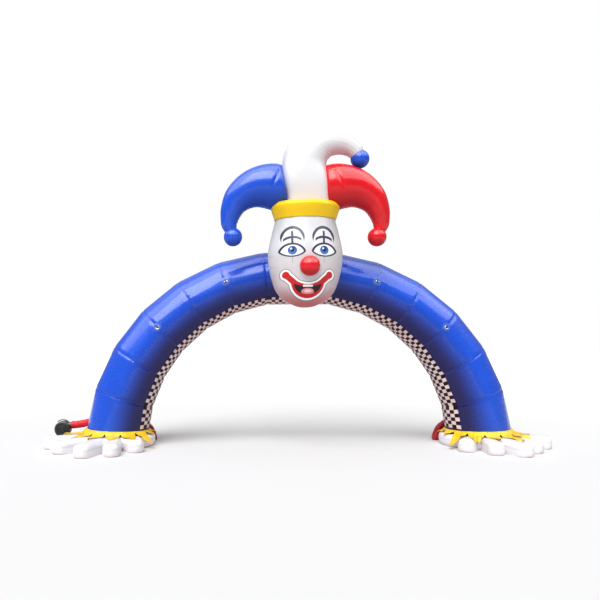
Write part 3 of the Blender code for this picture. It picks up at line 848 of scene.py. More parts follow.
def face_paint(paint, white):
    """A plain traditional clown make-up, printed on the front of the head, with a painted red reflection on
    the cheeks and chin and painted shade greying the top of the head.
    """
    x, y, z = paint.axes(paint.place())
    x = x - float(AT[0] + FACE_X)
    front = paint.soft(-y, float(-AT[1] - HEAD_Y - 0.10), float(-AT[1] - HEAD_Y + 0.02))
    side = abs(x)
    ink = (0.016, 0.020, 0.050)
    grey = (0.13, 0.13, 0.15)

    def oval(cx, cz, rx, rz, across=side):
        """Distance outside an upright oval, about right near its edge."""
        ring = paint.root(((across - cx) / rx) ** 2.0 + ((z - cz) / rz) ** 2.0)
        return (ring - 1.0) * min(rx, rz)

    def capsule(ax, az, bx, bz, radius):
        """Distance outside a round-ended bar."""
        dx = bx - ax
        dz = bz - az
        along = ((side - ax) * dx + (z - az) * dz) / (dx * dx + dz * dz)
        along = paint.least(paint.most(along, 0.0), 1.0)
        return paint.root((side - ax - along * dx) ** 2.0 + (z - az - along * dz) ** 2.0) - radius

    def draw(base, mask, colour):
        return paint.mix(mask * front, base, colour)

    # Painted reflection: a pink tint low on the cheeks.
    cheek = paint.inside(oval(0.42, 3.00, 0.26, 0.34), 0.14)
    base = draw(white, cheek * 0.25, (0.62, 0.34, 0.36))
    # Painted reflection: dark red on the chin and the bottom of the head.
    chin = 1.0 - paint.soft(z, 2.62, 3.02)
    base = paint.mix(chin * 0.95, base, (0.44, 0.075, 0.085))
    # Painted shade greys the top of the head.
    base = paint.mix(paint.soft(z, 3.75, 4.10) * 0.45, base, (0.46, 0.46, 0.48))
    brow_patch = paint.most(oval(0.268, 3.72, 0.200, 0.265), 3.60 - z)
    base = draw(base, paint.inside(brow_patch, 0.03) * 0.55, (0.80, 0.80, 0.84))

    # Brows: two nested arches over each eye, parted by a bar
    tall = abs(oval(0.266, 3.760, 0.188, 0.215)) - paint.soft(z, 3.690, 3.860) * 0.0225
    low = abs(oval(0.270, 3.700, 0.158, 0.103)) - paint.soft(z, 3.722, 3.790) * 0.0215
    bar = paint.most(abs(side - 0.270) - 0.0185, abs(z - 3.800) - 0.112)
    low = paint.most(low, 3.722 - z)
    brow = paint.least(paint.least(paint.most(tall, 3.700 - z), low), bar)
    base = draw(base, paint.inside(brow), ink)

    # Eyes
    upper = oval(0.276, 3.490, 0.222, 0.197)
    lower = oval(0.276, 3.640, 0.250, 0.170)
    almond = paint.most(upper, lower)
    base = draw(base, paint.inside(almond), (0.90, 0.91, 0.94))
    iris = oval(0.272, 3.573, 0.075, 0.075)
    inner = paint.most(iris, almond)
    base = draw(base, paint.inside(inner), (0.012, 0.050, 0.26))
    glow = paint.most(oval(0.272, 3.556, 0.056, 0.048), inner)
    base = draw(base, paint.inside(glow, 0.012), (0.05, 0.20, 0.58))
    base = draw(base, paint.inside(oval(0.272, 3.575, 0.033, 0.033)), (0.006, 0.010, 0.030))
    shine = oval(-0.292, 3.601, 0.017, 0.017, x)
    shine = paint.least(shine, oval(0.252, 3.601, 0.017, 0.017, x))
    base = draw(base, paint.inside(shine), (0.95, 0.96, 0.98))
    lid = paint.most(abs(almond) - 0.0175, 3.556 - z)
    rim = abs(almond) - 0.0115
    base = draw(base, paint.inside(paint.least(lid, rim)), ink)
    tear = paint.most(abs(side - 0.270) - 0.0045, abs(z - 3.412) - 0.055)
    base = draw(base, paint.inside(tear) * 0.6, grey)

    # Mouth
    bow = 2.995 + side * side * 1.5
    bowl = paint.most(oval(0.0, 3.050, 0.287, 0.291), z - bow)
    neck = capsule(0.205, 3.000, 0.370, 3.148, 0.048)
    bulb = oval(0.374, 3.152, 0.060, 0.060)
    lips = paint.least(paint.least(bowl, bulb), neck)
    base = draw(base, paint.inside(lips - 0.045), grey)
    base = draw(base, paint.inside(lips - 0.034), (0.93, 0.93, 0.95))
    base = draw(base, paint.inside(lips), (0.56, 0.006, 0.010))
    gape = paint.most(oval(0.0, 2.990, 0.232, 0.166), z - 2.958 - side * side * 0.9)
    base = draw(base, paint.inside(gape), (0.010, 0.004, 0.008))
    tongue = paint.most(oval(0.0, 2.872, 0.110, 0.060), gape + 0.004)
    base = draw(base, paint.inside(tongue), (0.66, 0.22, 0.25))
    sheen = paint.most(oval(0.0, 2.880, 0.066, 0.026), tongue)
    base = draw(base, paint.inside(sheen, 0.010) * 0.8, (0.90, 0.66, 0.68))
    teeth = paint.most(paint.most(side - 0.084, 2.950 - z), z - 2.984)
    base = draw(base, paint.inside(teeth), (0.92, 0.91, 0.90))
    gap = paint.most(paint.least(side, abs(side - 0.042)) - 0.0024, teeth)
    return draw(base, paint.inside(gap, 0.002) * 0.5, (0.25, 0.22, 0.25))


class ARCH_OT_head(bpy.types.Operator):
    """Make the egg-shaped head with its printed face, and the ball nose"""

    bl_idname = "arch.head"
    bl_label = "Head"

    def execute(self, context):
        colours = context.scene.arch_colours
        profile = smooth_table(HEAD_PROFILE, 132)
        points, angle = turned_points(profile, 288)
        height = points[..., 2]
        normal = points - np.array((0, HEAD_Y, 3.4))
        normal /= np.linalg.norm(normal, axis=-1, keepdims=True)
        girth = profile[:, 1][:, None]
        sink = np.zeros(height.shape)
        near = np.full(height.shape, 9.0)
        for seam in (-2.05, -1.02, 1.02, 2.05):
            distance = np.abs(wrapped(angle - seam)) * girth
            near = np.minimum(near, distance)
        for level in (3.287, 3.476):
            away = np.abs(height - level) + 9 * (np.abs(wrapped(angle)) < 1.02)
            near = np.minimum(near, away)
        sink -= 0.005 * np.exp(-((near / 0.014) ** 2))
        folds = ripple(angle, 3.0, (23, 41, 67))
        sink += 0.0030 * folds * np.exp(-(4.165 - height) / 0.10)
        sink += 0.0035 * folds * np.exp(-(height - 2.612) / 0.05)
        points = points + normal * sink[..., None]
        # The tube presses its own round into the back of the head
        centre = np.array((0, CROWN_Z - SEAM_RADII[0]))
        away = points[..., 1:] - centre
        reach = np.linalg.norm(away, axis=-1, keepdims=True)
        pressed = centre + away / reach * np.maximum(reach, SEAM_RADII[0] / cos(TURN / 2) + 0.002)
        points[..., 1:] = pressed
        obj = grid("clown_head", points, closed=True, caps=True)
        store(obj, "seam", near)
        outward(obj)
        plain = tuple(c * 0.80 for c in colours.white)
        # Painted shade: the last colour is the head's pinkish underside shade.
        paint = vinyl("head_vinyl", plain, 0.30, 0.25, 0.97, (0.50, 0.42, 0.44))
        line = 1.0 - paint.soft(paint.attribute("seam"), 0.001, 0.006)
        base = paint.mix(line * 0.35, face_paint(paint, paint.base), (0.45, 0.42, 0.46))
        paint.set(Base_Color=base)
        finish_piece(obj, paint.material, "white_vinyl", "head")

        nose = make_ball("clown_nose", np.array((0, HEAD_Y + NOSE_Y, NOSE_Z)), NOSE_RADIUS, 6)
        red = vinyl("nose_vinyl", tuple(colours.red), 0.26, 0.4)
        finish_piece(nose, red.material, "red_vinyl", "nose")
        return {"FINISHED"}


def make_ball(name, centre, radius, gores, rows=48, columns=96):
    """A sewn ball: gores meet in shallow seams and pucker at both poles."""
    polar = np.linspace(0.03, pi - 0.03, rows)[:, None]
    turn = np.linspace(0, 2 * pi, columns, endpoint=False)[None, :]
    seam = np.abs(wrapped(turn * gores)) / gores * radius * np.sin(polar)
    near_poles = np.exp(-polar / 0.22) + np.exp(-(pi - polar) / 0.22)
    folds = ripple(turn, gores, (gores * 3, gores * 5)) * near_poles
    out = radius - 0.0035 * np.exp(-((seam / 0.010) ** 2)) + 0.0022 * folds
    points = np.stack(
        [out * np.sin(polar) * np.cos(turn), out * np.sin(polar) * np.sin(turn), out * np.cos(polar)], -1
    )
    obj = grid(name, points + centre, closed=True, caps=True)
    outward(obj)
    return obj


class ARCH_OT_hat(bpy.types.Operator):
    """Make the flared hat band, the three horns and their balls"""

    bl_idname = "arch.hat"
    bl_label = "Hat"

    def execute(self, context):
        colours = context.scene.arch_colours
        yellow = vinyl("band_vinyl", tuple(colours.yellow), 0.36, 0.1, 0.95)
        profile = smooth_table(BAND_PROFILE, 44)
        points, angle = turned_points(profile, 256)
        height = points[..., 2]
        folds = ripple(angle, 1.0, (29, 43, 71))
        swell = 0.0045 * folds * (np.exp(-(height - 4.166) / 0.035) + np.exp(-(4.46 - height) / 0.030))
        swell += 0.0025 * np.sin(9 * angle + 1.0)
        outer = profile[:, 1][:, None] > 0.52
        flat = points[..., :2] - np.array((0, HEAD_Y))
        reach = np.linalg.norm(flat, axis=-1, keepdims=True)
        points[..., :2] += flat / reach * (swell * outer)[..., None]
        band = grid("band", points, closed=True, caps=True)
        outward(band)
        finish_piece(band, yellow.material, "yellow_vinyl", "hat_band")

        looks = {
            # Painted shade: the white horn's last colour is its pinkish underside shade.
            "white": vinyl(
                "white_horn_vinyl", tuple(c * 0.90 for c in colours.white), 0.34, 0.1, 0.98, (0.50, 0.36, 0.36)
            ),
            "blue": vinyl("blue_horn_vinyl", tuple(colours.blue), 0.24),
            "red": vinyl("red_horn_vinyl", tuple(colours.red), 0.24),
        }
        for name, table, side, place, ball_colour in (
            ("white", WHITE_HORN, 1, WHITE_BALL, "blue"),
            ("blue", SIDE_HORN, 1, SIDE_BALL, "blue"),
            ("red", SIDE_HORN, -1, SIDE_BALL, "red"),
        ):
            horn = make_horn(f"{name}_horn", table, side)
            finish_piece(horn, looks[name].material, f"{name}_vinyl", f"horn_{name}")
            centre = np.array((place[0] * side, HEAD_Y, place[1]))
            ball = make_ball(f"{name}_horn_ball", centre, BALL_RADIUS, 8)
            finish_piece(ball, looks[ball_colour].material, f"{ball_colour}_vinyl", f"ball_{name}")
        return {"FINISHED"}


def eased(value, low, high):
    share = np.clip((value - low) / (high - low), 0, 1)
    return share * share * (3 - 2 * share)


def superround(angle, power):
    """Cosine and sine of a ring that grows squarer with its power."""
    cosine = np.cos(angle)
    sine = np.sin(angle)
    return np.sign(cosine) * np.abs(cosine) ** (2 / power), np.sign(sine) * np.abs(sine) ** (2 / power)


def make_horn(name, table, side):
    """A horn through its table's rings, with folds across its hollow side and creases at its root."""
    rows = smooth_table(table, 150)
    outer = np.stack([rows[:, 0] * side, np.zeros(len(rows)), rows[:, 1]], -1)
    inner = np.stack([rows[:, 2] * side, np.zeros(len(rows)), rows[:, 3]], -1)
    middle = (outer + inner) / 2 + np.array((0, HEAD_Y, 0))
    half = (outer - inner) / 2
    size = np.linalg.norm(half, axis=1)
    across = half / size[:, None]
    angle = np.linspace(0, 2 * pi, 128, endpoint=False)
    step = np.linspace(0, 1, len(rows))[:, None]
    hollow = (1 - np.cos(angle)) / 2
    folds = np.sin(step * 118 + 2.0 * np.sin(angle * 3)) + 0.6 * np.sin(step * 187 + 4 * angle)
    uneven = 0.55 + 0.45 * np.sin(step * 23 + side)
    wrinkle = 0.0036 * folds * uneven * hollow**4 * np.clip((step - 0.2) * 4, 0, 1)
    wrinkle = wrinkle + 0.0040 * ripple(angle, side + 4.0, (9, 13, 19)) * np.clip((step - 0.78) * 5, 0, 1)
    seam = np.minimum(np.abs(wrapped(angle - pi / 2)), np.abs(wrapped(angle + pi / 2))) * size[:, None]
    power = np.full(size.shape, 2.0)
    if table is WHITE_HORN:
        wrinkle = wrinkle - 0.003 * np.exp(-((seam / 0.012) ** 2))
        power = 2 + 1.8 * eased(5.25 - middle[:, 2], 0.0, 0.5)
    cosine, sine = superround(angle[None, :], power[:, None])
    wide = (size[:, None] * cosine)[..., None]
    deep = (size[:, None] * HORN_DEPTH * sine)[..., None]
    rearward = np.array((0, 1.0, 0)) * np.sin(angle)[None, :, None]
    radial = across[:, None, :] * np.cos(angle)[None, :, None] + rearward
    points = middle[:, None, :] + across[:, None, :] * wide + np.array((0, 1.0, 0)) * deep
    points = points + radial * wrinkle[..., None]
    if table is SIDE_HORN:
        # Past the sewn edge the horn tucks away inside the middle one
        high, low = SEWN_EDGES[side]
        edge = low + (high - low) * (points[..., 2] - SEWN_LOW_Z) / (SEWN_HIGH_Z - SEWN_LOW_Z)
        past = points[..., 0] * side - edge
        points[..., 1] = HEAD_Y + (points[..., 1] - HEAD_Y) * (1 - 0.62 * eased(past, -0.025, 0.09))
        start = np.array((-0.500 * side, 4.99))
        end = np.array((-0.620 * side, 4.70))
        line = end - start
        flat = points[..., [0, 2]] - start
        t = np.clip((flat @ line) / (line @ line), 0, 1)
        distance = np.linalg.norm(flat - t[..., None] * line, axis=-1)
        front = np.clip((HEAD_Y - points[..., 1]) / 0.10, 0, 1)
        points[..., 1] += 0.030 * np.exp(-((distance / 0.022) ** 2)) * front * (1 - 0.6 * t)
    obj = grid(name, points, closed=True, caps=True)
    outward(obj)
    return obj


def finger_reach(bearing, finger, inset):
    """How far a rounded finger reaches from the leg's middle along bearings."""
    degrees, length, half_width = finger
    turn = wrapped(bearing - radians(degrees))
    width = half_width - inset
    tip = length - half_width
    to_side = width / np.maximum(np.abs(np.sin(turn)), 1e-6)
    inside = np.maximum(width**2 - (tip * np.sin(turn)) ** 2, 0.0)
    to_tip = tip * np.cos(turn) + np.sqrt(inside)
    reach = np.where(to_side * np.cos(turn) <= tip, to_side, to_tip)
    return np.where(np.cos(turn) <= 0, width, reach)


def foot_middle():
    return seam_ring(LAST_SEAM + 1, np.array([0.0, pi]))[:, 0].mean()


def bearing_points(side, bearing, reach, z):
    x = side * (foot_middle() + reach * np.sin(bearing))
    y = -reach * np.cos(bearing)
    return np.stack(np.broadcast_arrays(x, y, z), -1)


def outline_distance(points, outline):
    """Distance from points to a closed outline, both flat."""
    a = outline
    b = np.roll(outline, -1, axis=0)
    line = b - a
    best = np.full(points.shape[:-1], 1e9)
    for i in range(len(a)):
        t = np.clip(((points - a[i]) @ line[i]) / max(line[i] @ line[i], 1e-12), 0, 1)
        gap = points - a[i] - t[..., None] * line[i]
        best = np.minimum(best, (gap**2).sum(-1))
    return np.sqrt(best)


def glove_reach(bearing, fingers):
    """How far a glove's edge lies from the leg's middle along bearings."""
    reach = np.full(np.shape(bearing), PALM_RADIUS)
    for finger in fingers:
        reach = np.maximum(reach, finger_reach(bearing, finger, 0.0))
    return reach


def glove_outline(fingers):
    bearing = np.linspace(0, 2 * pi, 640, endpoint=False)
    reach = glove_reach(bearing, fingers)
    return bearing, reach, np.stack([reach * np.sin(bearing), reach * np.cos(bearing)], -1)


def glove_surface(flat, outline):
    """Height of a glove's puffed top over points round the leg, and how far they are from its edge."""
    gap = outline_distance(flat, outline)
    puff = (1 - (1 - np.clip(gap / PUFF, 0, 1)) ** 2.4) ** (1 / 2.4)
    knuckle = np.exp(-(((np.linalg.norm(flat, axis=-1) - 0.95) / 0.24) ** 2)) * eased(flat[..., 1], -0.2, 0.3)
    return EDGE_Z + (EDGE_Z + KNUCKLE * knuckle) * puff, gap


class ARCH_OT_gloves(bpy.types.Operator):
    """Make the gloves that the arch stands on"""

    bl_idname = "arch.gloves"
    bl_label = "Gloves"

    def execute(self, context):
        colours = context.scene.arch_colours
        glove_white = tuple(c * 1.12 for c in colours.white)
        # Painted shade: the last colour is the glove's pinkish underside shade.
        paint = vinyl("glove_vinyl", glove_white, 0.34, 0.2, 0.97, (0.66, 0.56, 0.58))
        _, _, z = paint.axes(paint.place())
        low = 1.0 - paint.soft(z, 0.0, 0.20)
        scuff = paint.soft(paint.noise(6.0, 5.0), 0.45, 0.8)
        # Painted shade: a pink tint low on the glove, near the ground; the grey scuffs there are wear.
        base = paint.mix(low * 0.18, paint.base, (0.84, 0.66, 0.69))
        base = paint.mix(scuff * low * 0.3, base, (0.48, 0.44, 0.43))
        line = 1.0 - paint.soft(paint.attribute("seam"), 0.002, 0.006)
        paint.set(Base_Color=paint.mix(line * 0.25, base, (0.50, 0.44, 0.47)))
        for side, name, fingers in ((-1, "left", LEFT_FINGERS), (1, "right", RIGHT_FINGERS)):
            bearing, reach, outline = glove_outline(fingers)
            rim_steps = [0, 0.003, 0.008, 0.015, 0.024, 0.034]
            share = 1 - np.concatenate([rim_steps, np.linspace(0.046, 0.995, 36)])
            flat = outline[None] * share[:, None, None]
            top, gap = glove_surface(flat, outline)
            folds = ripple(bearing, 2.0 + side, (37, 59, 83)) * (0.0035 * np.exp(-gap / 0.06))
            top = top + folds * (gap > 0.001)
            sides = []
            for z_low, inset in GLOVE_SIDE:
                shrink = 1 - (inset + 0.25 * folds[0] * (z_low > 0.01)) / reach
                sides.append(bearing_points(side, bearing, reach * shrink, z_low))
            rows = [bearing_points(side, bearing, reach * s, h) for s, h in zip(share, top)]
            obj = grid(f"{name}_glove", np.array(sides + rows), closed=True, caps=True)
            seams = np.concatenate([np.full((len(GLOVE_SIDE), len(bearing)), 9.0), gap])
            store(obj, "seam", seams)
            outward(obj)
            finish_piece(obj, paint.material, "white_vinyl", f"glove_{name}")
        return {"FINISHED"}


class ARCH_OT_cuffs(bpy.types.Operator):
    """Make the pointed cuffs that lie over the gloves"""

    bl_idname = "arch.cuffs"
    bl_label = "Cuffs"

    def execute(self, context):
        colours = context.scene.arch_colours
        paint = vinyl("cuff_vinyl", tuple(colours.yellow), 0.34, 0.25)
        folds = paint.noise(11.0, 4.0, rough=0.6)
        base = paint.mix(paint.soft(folds, 0.35, 0.7), paint.base, (0.88, 0.50, 0.02))
        paint.set(Base_Color=base, Normal=paint.bump(folds, 0.02, 0.5))
        bearing = np.linspace(0, 2 * pi, CUFF_PETALS * 24, endpoint=False)
        for side, name, fingers in ((-1, "left", LEFT_FINGERS), (1, "right", RIGHT_FINGERS)):
            _, _, outline = glove_outline(fingers)
            edge = glove_reach(bearing, fingers)
            near = [glove_reach(bearing + turn, fingers) for turn in np.linspace(-0.09, 0.09, 7)]
            edge = np.minimum(np.mean(near, axis=0), edge + 0.05)
            about_tube = np.arctan2(-np.cos(bearing), -np.sin(bearing))
            ring = seam_ring(LAST_SEAM + 1, about_tube, 0.003, CUFF_INNER_Z)
            petal = bearing * CUFF_PETALS / (2 * pi)
            number = np.round(petal) % CUFF_PETALS
            phase = np.abs(petal % 1.0 - 0.5) * 2
            reach = CUFF_TIP - 0.10 * np.abs(np.sin(2.3 * number + side))
            reach = np.where(np.isin(number, (10, 11)), 0.76, reach)
            reach = np.where(np.isin(number, (8, 9)), CUFF_SHORT, reach)
            if side < 0:
                reach = np.where(np.isin(number, (4, 5)), CUFF_SHORT, reach)
            valley = np.minimum(CUFF_NOTCH + 0.02 * np.sin(3.1 * number), reach)
            outer = valley + (reach - valley) * phase**1.2
            centre_x = foot_middle()
            inner_flat = ring[:, :2] - np.array((centre_x, 0))
            inner = np.linalg.norm(inner_flat, axis=1)
            rows = []
            for part in np.linspace(0, 1, 18):
                distance = inner + (outer - inner) * part
                slope = eased(distance, 0.57, 0.71)
                wave = 0.005 * np.sin(CUFF_PETALS * bearing + 0.7) + 0.004 * np.sin(17 * bearing + 2)
                curl = 0.014 * phase * np.sin(2.9 * number + side) * eased(distance, 0.70, 0.98)
                crease = 0.006 * np.sin(bearing * 61) * np.exp(-(distance - 0.59) / 0.05)
                height = CUFF_INNER_Z - 0.092 * slope + (wave + curl) * min(part * 2, 1) + crease * (part > 0)
                flat = np.stack([distance * np.sin(bearing), distance * np.cos(bearing)], -1)
                top, _ = glove_surface(flat, outline)
                over = np.maximum(distance - edge, 0.0)
                laid = np.maximum(height, np.where(distance < edge, top, 0.0) + CUFF_LIFT)
                droop = CUFF_DROOP * (1 - np.exp(-over / CUFF_DROOP_RUN))
                rows.append(bearing_points(side, bearing, distance, laid - droop))
            points = np.array(rows)
            obj = grid(f"{name}_cuff", points, closed=True)
            face_away(obj, Vector((side * centre_x + float(AT[0]), float(AT[1]), -10.0)))
            thicken(obj, 0.0016, -1.0)
            finish_piece(obj, paint.material, "yellow_vinyl", f"cuff_{name}")
            area = surface_area(np.concatenate([points, points[:, :1]], axis=1))
        return {"FINISHED"}


def folded_tube(name, centres, ups, sides, folds, seed, hoops=0.5, count=96):
    """A gathered sleeve: rings spanned by two half axes and creased by uneven folds."""
    angle = np.linspace(0, 2 * pi, count, endpoint=False)
    step = np.linspace(0, 1, len(centres))[:, None]
    uneven = ripple(angle + 0.25 * np.sin(9 * step), seed, (7, 11, 17))
    rings = np.sin(step * 60 + 3 * np.sin(angle * 2 + seed) + 2 * np.sin(step * 9)) * hoops
    grow = 1 + folds * (uneven + rings)
    cosine = np.cos(angle)[None, :, None] * grow[..., None]
    sine = np.sin(angle)[None, :, None] * grow[..., None]
    points = centres[:, None, :] + ups[:, None, :] * cosine + sides[:, None, :] * sine
    points[..., 2] = np.maximum(points[..., 2], 0.0)
    obj = grid(name, points, closed=True, caps=True)
    outward(obj)
    return obj


def rod(points, radius, closed=False, sides=8):
    """Rings of points along a bent rod."""
    points = np.asarray(points, float)
    ahead = np.roll(points, -1, axis=0) if closed else np.vstack([points[1:], 2 * points[-1] - points[-2]])
    behind = np.roll(points, 1, axis=0) if closed else np.vstack([2 * points[0] - points[1], points[:-1]])
    run = ahead - behind
    run /= np.linalg.norm(run, axis=1)[:, None]
    first = np.cross(run, np.array((0.31, 0.87, 0.38)))
    first /= np.linalg.norm(first, axis=1)[:, None]
    second = np.cross(run, first)
    angle = np.linspace(0, 2 * pi, sides, endpoint=False)
    spread = first[:, None] * np.cos(angle)[None, :, None] + second[:, None] * np.sin(angle)[None, :, None]
    rings = points[:, None] + radius * spread
    return np.concatenate([rings, rings[:1]]) if closed else rings


def merged(name, parts):
    """One object from several, each closed by itself."""
    keep = parts[0]
    work = bmesh.new()
    for part in parts:
        work.from_mesh(part.data)
    work.to_mesh(keep.data)
    work.free()
    for part in parts[1:]:
        bpy.data.objects.remove(part)
    keep.name = name
    keep.data.shade_smooth()
    keep.data.set_sharp_from_angle(angle=radians(50.0))
    return keep


def blower_body():
    """Round fan case with a rolled rim and ribs, its outlet neck and the saddle it stands on."""
    half = DRUM_WIDTH / 2
    r = DRUM_RADIUS
    profile = [(-half + 0.004, 0.001), (-half + 0.004, 0.104), (-half - 0.001, 0.107), (-half - 0.001, 0.113)]
    profile += [(-half + 0.004, 0.116), (-half + 0.004, r - 0.016)]
    profile += [(-half + 0.010, r - 0.005), (-half + 0.022, r)]
    for rib in (-0.055, 0.0, 0.055):
        profile += [(rib - 0.008, r), (rib - 0.006, r + 0.003), (rib + 0.006, r + 0.003), (rib + 0.008, r)]
    profile += [(half - 0.022, r), (half - 0.010, r - 0.005), (half - 0.002, r - 0.016), (half, r - 0.05)]
    profile += [(half, 0.001)]
    rows = np.array(profile)
    turn = np.linspace(0, 2 * pi, 96, endpoint=False)
    x = BLOWER_X + rows[:, 1:2] * np.cos(turn)
    y = np.broadcast_to(BLOWER_Y + rows[:, :1], x.shape)
    z = DRUM_Z + rows[:, 1:2] * np.sin(turn)
    parts = [grid("case", np.stack([x, y, z], -1), closed=True, caps=True)]
    line = np.array([(-4.60, 0), (-4.475, 0), (-4.474, 0), (-4.464, 0), (-4.463, 0), (-4.444, 0)])
    size = np.array([0.056, 0.056, 0.059, 0.059, 0.056, 0.056])
    turn = np.linspace(0, 2 * pi, 64, endpoint=False)
    y = BLOWER_Y + size[:, None] * np.cos(turn)
    z = 0.315 + size[:, None] * np.sin(turn)
    neck = np.stack([np.broadcast_to(line[:, :1], y.shape), y, z], -1)
    parts.append(grid("neck", neck, closed=True, caps=True))
    levels = np.array([0.0506, 0.056, 0.060, 0.120, 0.200])
    wide = np.array([0.106, 0.110, 0.110, 0.100, 0.060])
    deep = np.array([0.076, 0.080, 0.080, 0.076, 0.070])
    cosine, sine = superround(np.linspace(0, 2 * pi, 64, endpoint=False), 8.0)
    x = BLOWER_X + wide[:, None] * cosine
    y = BLOWER_Y + deep[:, None] * sine
    saddle = np.stack([x, y, np.broadcast_to(levels[:, None], x.shape)], -1)
    parts.append(grid("saddle", saddle, closed=True, caps=True))
    for part in parts:
        outward(part)
    return merged("blower_case", parts)


def blower_grille():
    """Wire guard over the blower's air intake and a carrying handle."""
    front = BLOWER_Y - DRUM_WIDTH / 2 - 0.006
    parts = []
    turn = np.linspace(0, 2 * pi, 48, endpoint=False)
    for radius in (0.022, 0.040, 0.058, 0.076, 0.094):
        dish = 0.010 * (1 - radius / 0.1)
        x = BLOWER_X + radius * np.cos(turn)
        z = DRUM_Z + radius * np.sin(turn)
        ring = np.stack([x, np.full(48, front - dish), z], -1)
        parts.append(grid("ring", rod(ring, 0.0022, True), closed=True))
    for spoke in range(6):
        way = spoke * pi / 3 + 0.3
        radius = np.linspace(0.010, 0.104, 6)
        x = BLOWER_X + radius * cos(way)
        z = DRUM_Z + radius * sin(way)
        line = np.stack([x, front + 0.002 - 0.010 * (1 - radius / 0.1), z], -1)
        parts.append(grid("spoke", rod(line, 0.0026), closed=True, caps=True))
    bend = np.linspace(0.25 * pi, 0.75 * pi, 14)
    grip_z = DRUM_Z + 0.022 + 0.162 * np.sin(bend)
    grip = np.stack([BLOWER_X + 0.16 * np.cos(bend), np.full(14, BLOWER_Y), grip_z], -1)
    parts.append(grid("grip", rod(grip, 0.009, sides=12), closed=True, caps=True))
    for part in parts:
        outward(part)
    return merged("blower_fittings", parts)


class ARCH_OT_air(bpy.types.Operator):
    """Make the inflation sleeve, the tied-off sleeves and the blower's fittings"""

    bl_idname = "arch.air"
    bl_label = "Air supply"

    def execute(self, context):
        colours = context.scene.arch_colours
        cloth = vinyl("sleeve_cloth", tuple(colours.sleeve), 0.42, 0.12, 0.6)
        folds = cloth.noise(14.0, 4.0, rough=0.6)
        cloth.set(Normal=cloth.bump(folds, 0.012, 0.6))
        inlet = vinyl("inlet_cloth", tuple(colours.red), 0.38, 0.2, 0.7)
        inlet.set(Normal=inlet.bump(inlet.noise(12.0, 4.0), 0.010, 0.5))
        for side, name in ((-1, "left"), (1, "right")):
            rows = smooth_table(TIED_SLEEVE, 60)
            bearing = np.radians(rows[:, 0])
            upper = bearing_points(side, bearing, rows[:, 1], rows[:, 2])
            lower = bearing_points(side, bearing, rows[:, 3], rows[:, 4])
            across = np.stack([side * np.cos(bearing), np.sin(bearing), np.zeros(len(rows))], -1)
            middle = (upper + lower) / 2
            fuller = 1 + 0.34 * np.exp(-(((np.linspace(0, 1, 60) - 0.42) / 0.22) ** 2))
            wide = across * (rows[:, 5] * fuller)[:, None]
            obj = folded_tube(f"{name}_tied_sleeve", middle, (upper - lower) / 2, wide, 0.060, 2 + side, 0.28)
            finish_piece(obj, cloth.material, "sleeve_cloth", f"sleeve_{name}")
        rows = smooth_table(INLET_SLEEVE, 70)
        run = np.gradient(rows[:, :3], axis=0)
        run /= np.linalg.norm(run, axis=1)[:, None]
        across = np.cross(run, (0, 0, 1.0))
        across /= np.linalg.norm(across, axis=1)[:, None]
        up = np.cross(across, run)
        size = rows[:, 3:4]
        obj = folded_tube("inflation_sleeve", rows[:, :3], up * size, across * size, 0.035, 6)
        finish_piece(obj, inlet.material, "sleeve_cloth", "sleeve_inlet")

        plastic = Paint("blower_plastic", 0.42)
        grain = plastic.noise(180.0, 3.0)
        scuffs = plastic.soft(plastic.noise(14.0, 5.0), 0.55, 0.8)
        base = plastic.mix(scuffs * 0.4, tuple(colours.black), (0.06, 0.06, 0.065))
        plastic.set(Base_Color=base, Roughness=0.36 + scuffs * 0.2, Normal=plastic.bump(grain, 0.0006, 0.5))
        grille = blower_grille()
        grille.data.materials.append(plastic.material)
        finish_piece(grille, None, "blower_plastic")
        case = blower_body()
        case.data.materials.append(plastic.material)
        finish_piece(case, None, "blower_plastic", "blower")
        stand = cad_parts["blower_stand"].data.materials
        stand.clear()
        stand.append(plastic.material)
        return {"FINISHED"}


class ARCH_OT_ties(bpy.types.Operator):
    """Finish the tie points: patch, keeper and ring"""

    bl_idname = "arch.ties"
    bl_label = "Tie points"

    def execute(self, context):
        colours = context.scene.arch_colours
        patch = vinyl("patch_vinyl", (0.06, 0.14, 0.60), 0.34, 0.3)
        strap = Paint("webbing", 0.75)
        x, _, z = strap.axes(strap.place())
        weave = strap.maths("SINE", (x + z) * 3000.0) * strap.maths("SINE", (x - z) * 3000.0)
        strap.set(
            Base_Color=strap.mix(strap.soft(weave, -0.4, 0.6), tuple(colours.black), (0.05, 0.05, 0.055)),
            Normal=strap.bump(weave, 0.0005),
        )
        steel = Paint("ring_steel", 0.22)
        rub = steel.noise(260.0, 3.0)
        steel.set(
            Base_Color=steel.mix(rub, (0.62, 0.62, 0.63), (0.42, 0.42, 0.44)),
            Metallic=1.0,
            Roughness=0.16 + rub * 0.2,
        )
        turn = np.linspace(0, 2 * pi, 40, endpoint=False)
        circles = []
        for k, side, place in TIES:
            reach = PATCH_RADIUS * 0.86
            angle = TIE_ANGLE + reach * np.sin(turn) / SEAM_RADII[k]
            lift = 0.0062
            base = seam_ring(k, angle, lift)
            beyond = seam_ring(k + 1, angle, lift)
            before = seam_ring(k - 1, angle, lift)
            away = np.where((np.cos(turn) >= 0)[:, None], beyond, before) - base
            away /= np.linalg.norm(away, axis=1)[:, None]
            circles.append(((base + away * np.abs(reach * np.cos(turn))[:, None]) * (side, 1, 1), True))
            tie_nodes = ((f"patch_{place}", patch), (f"keeper_{place}", strap), (f"ring_{place}", steel))
            for node, paint in tie_nodes:
                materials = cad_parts[node].data.materials
                materials.clear()
                materials.append(paint.material)
        stitch_rows("patch_stitches", circles, thread_material(), "blue_vinyl", 0.8)
        return {"FINISHED"}


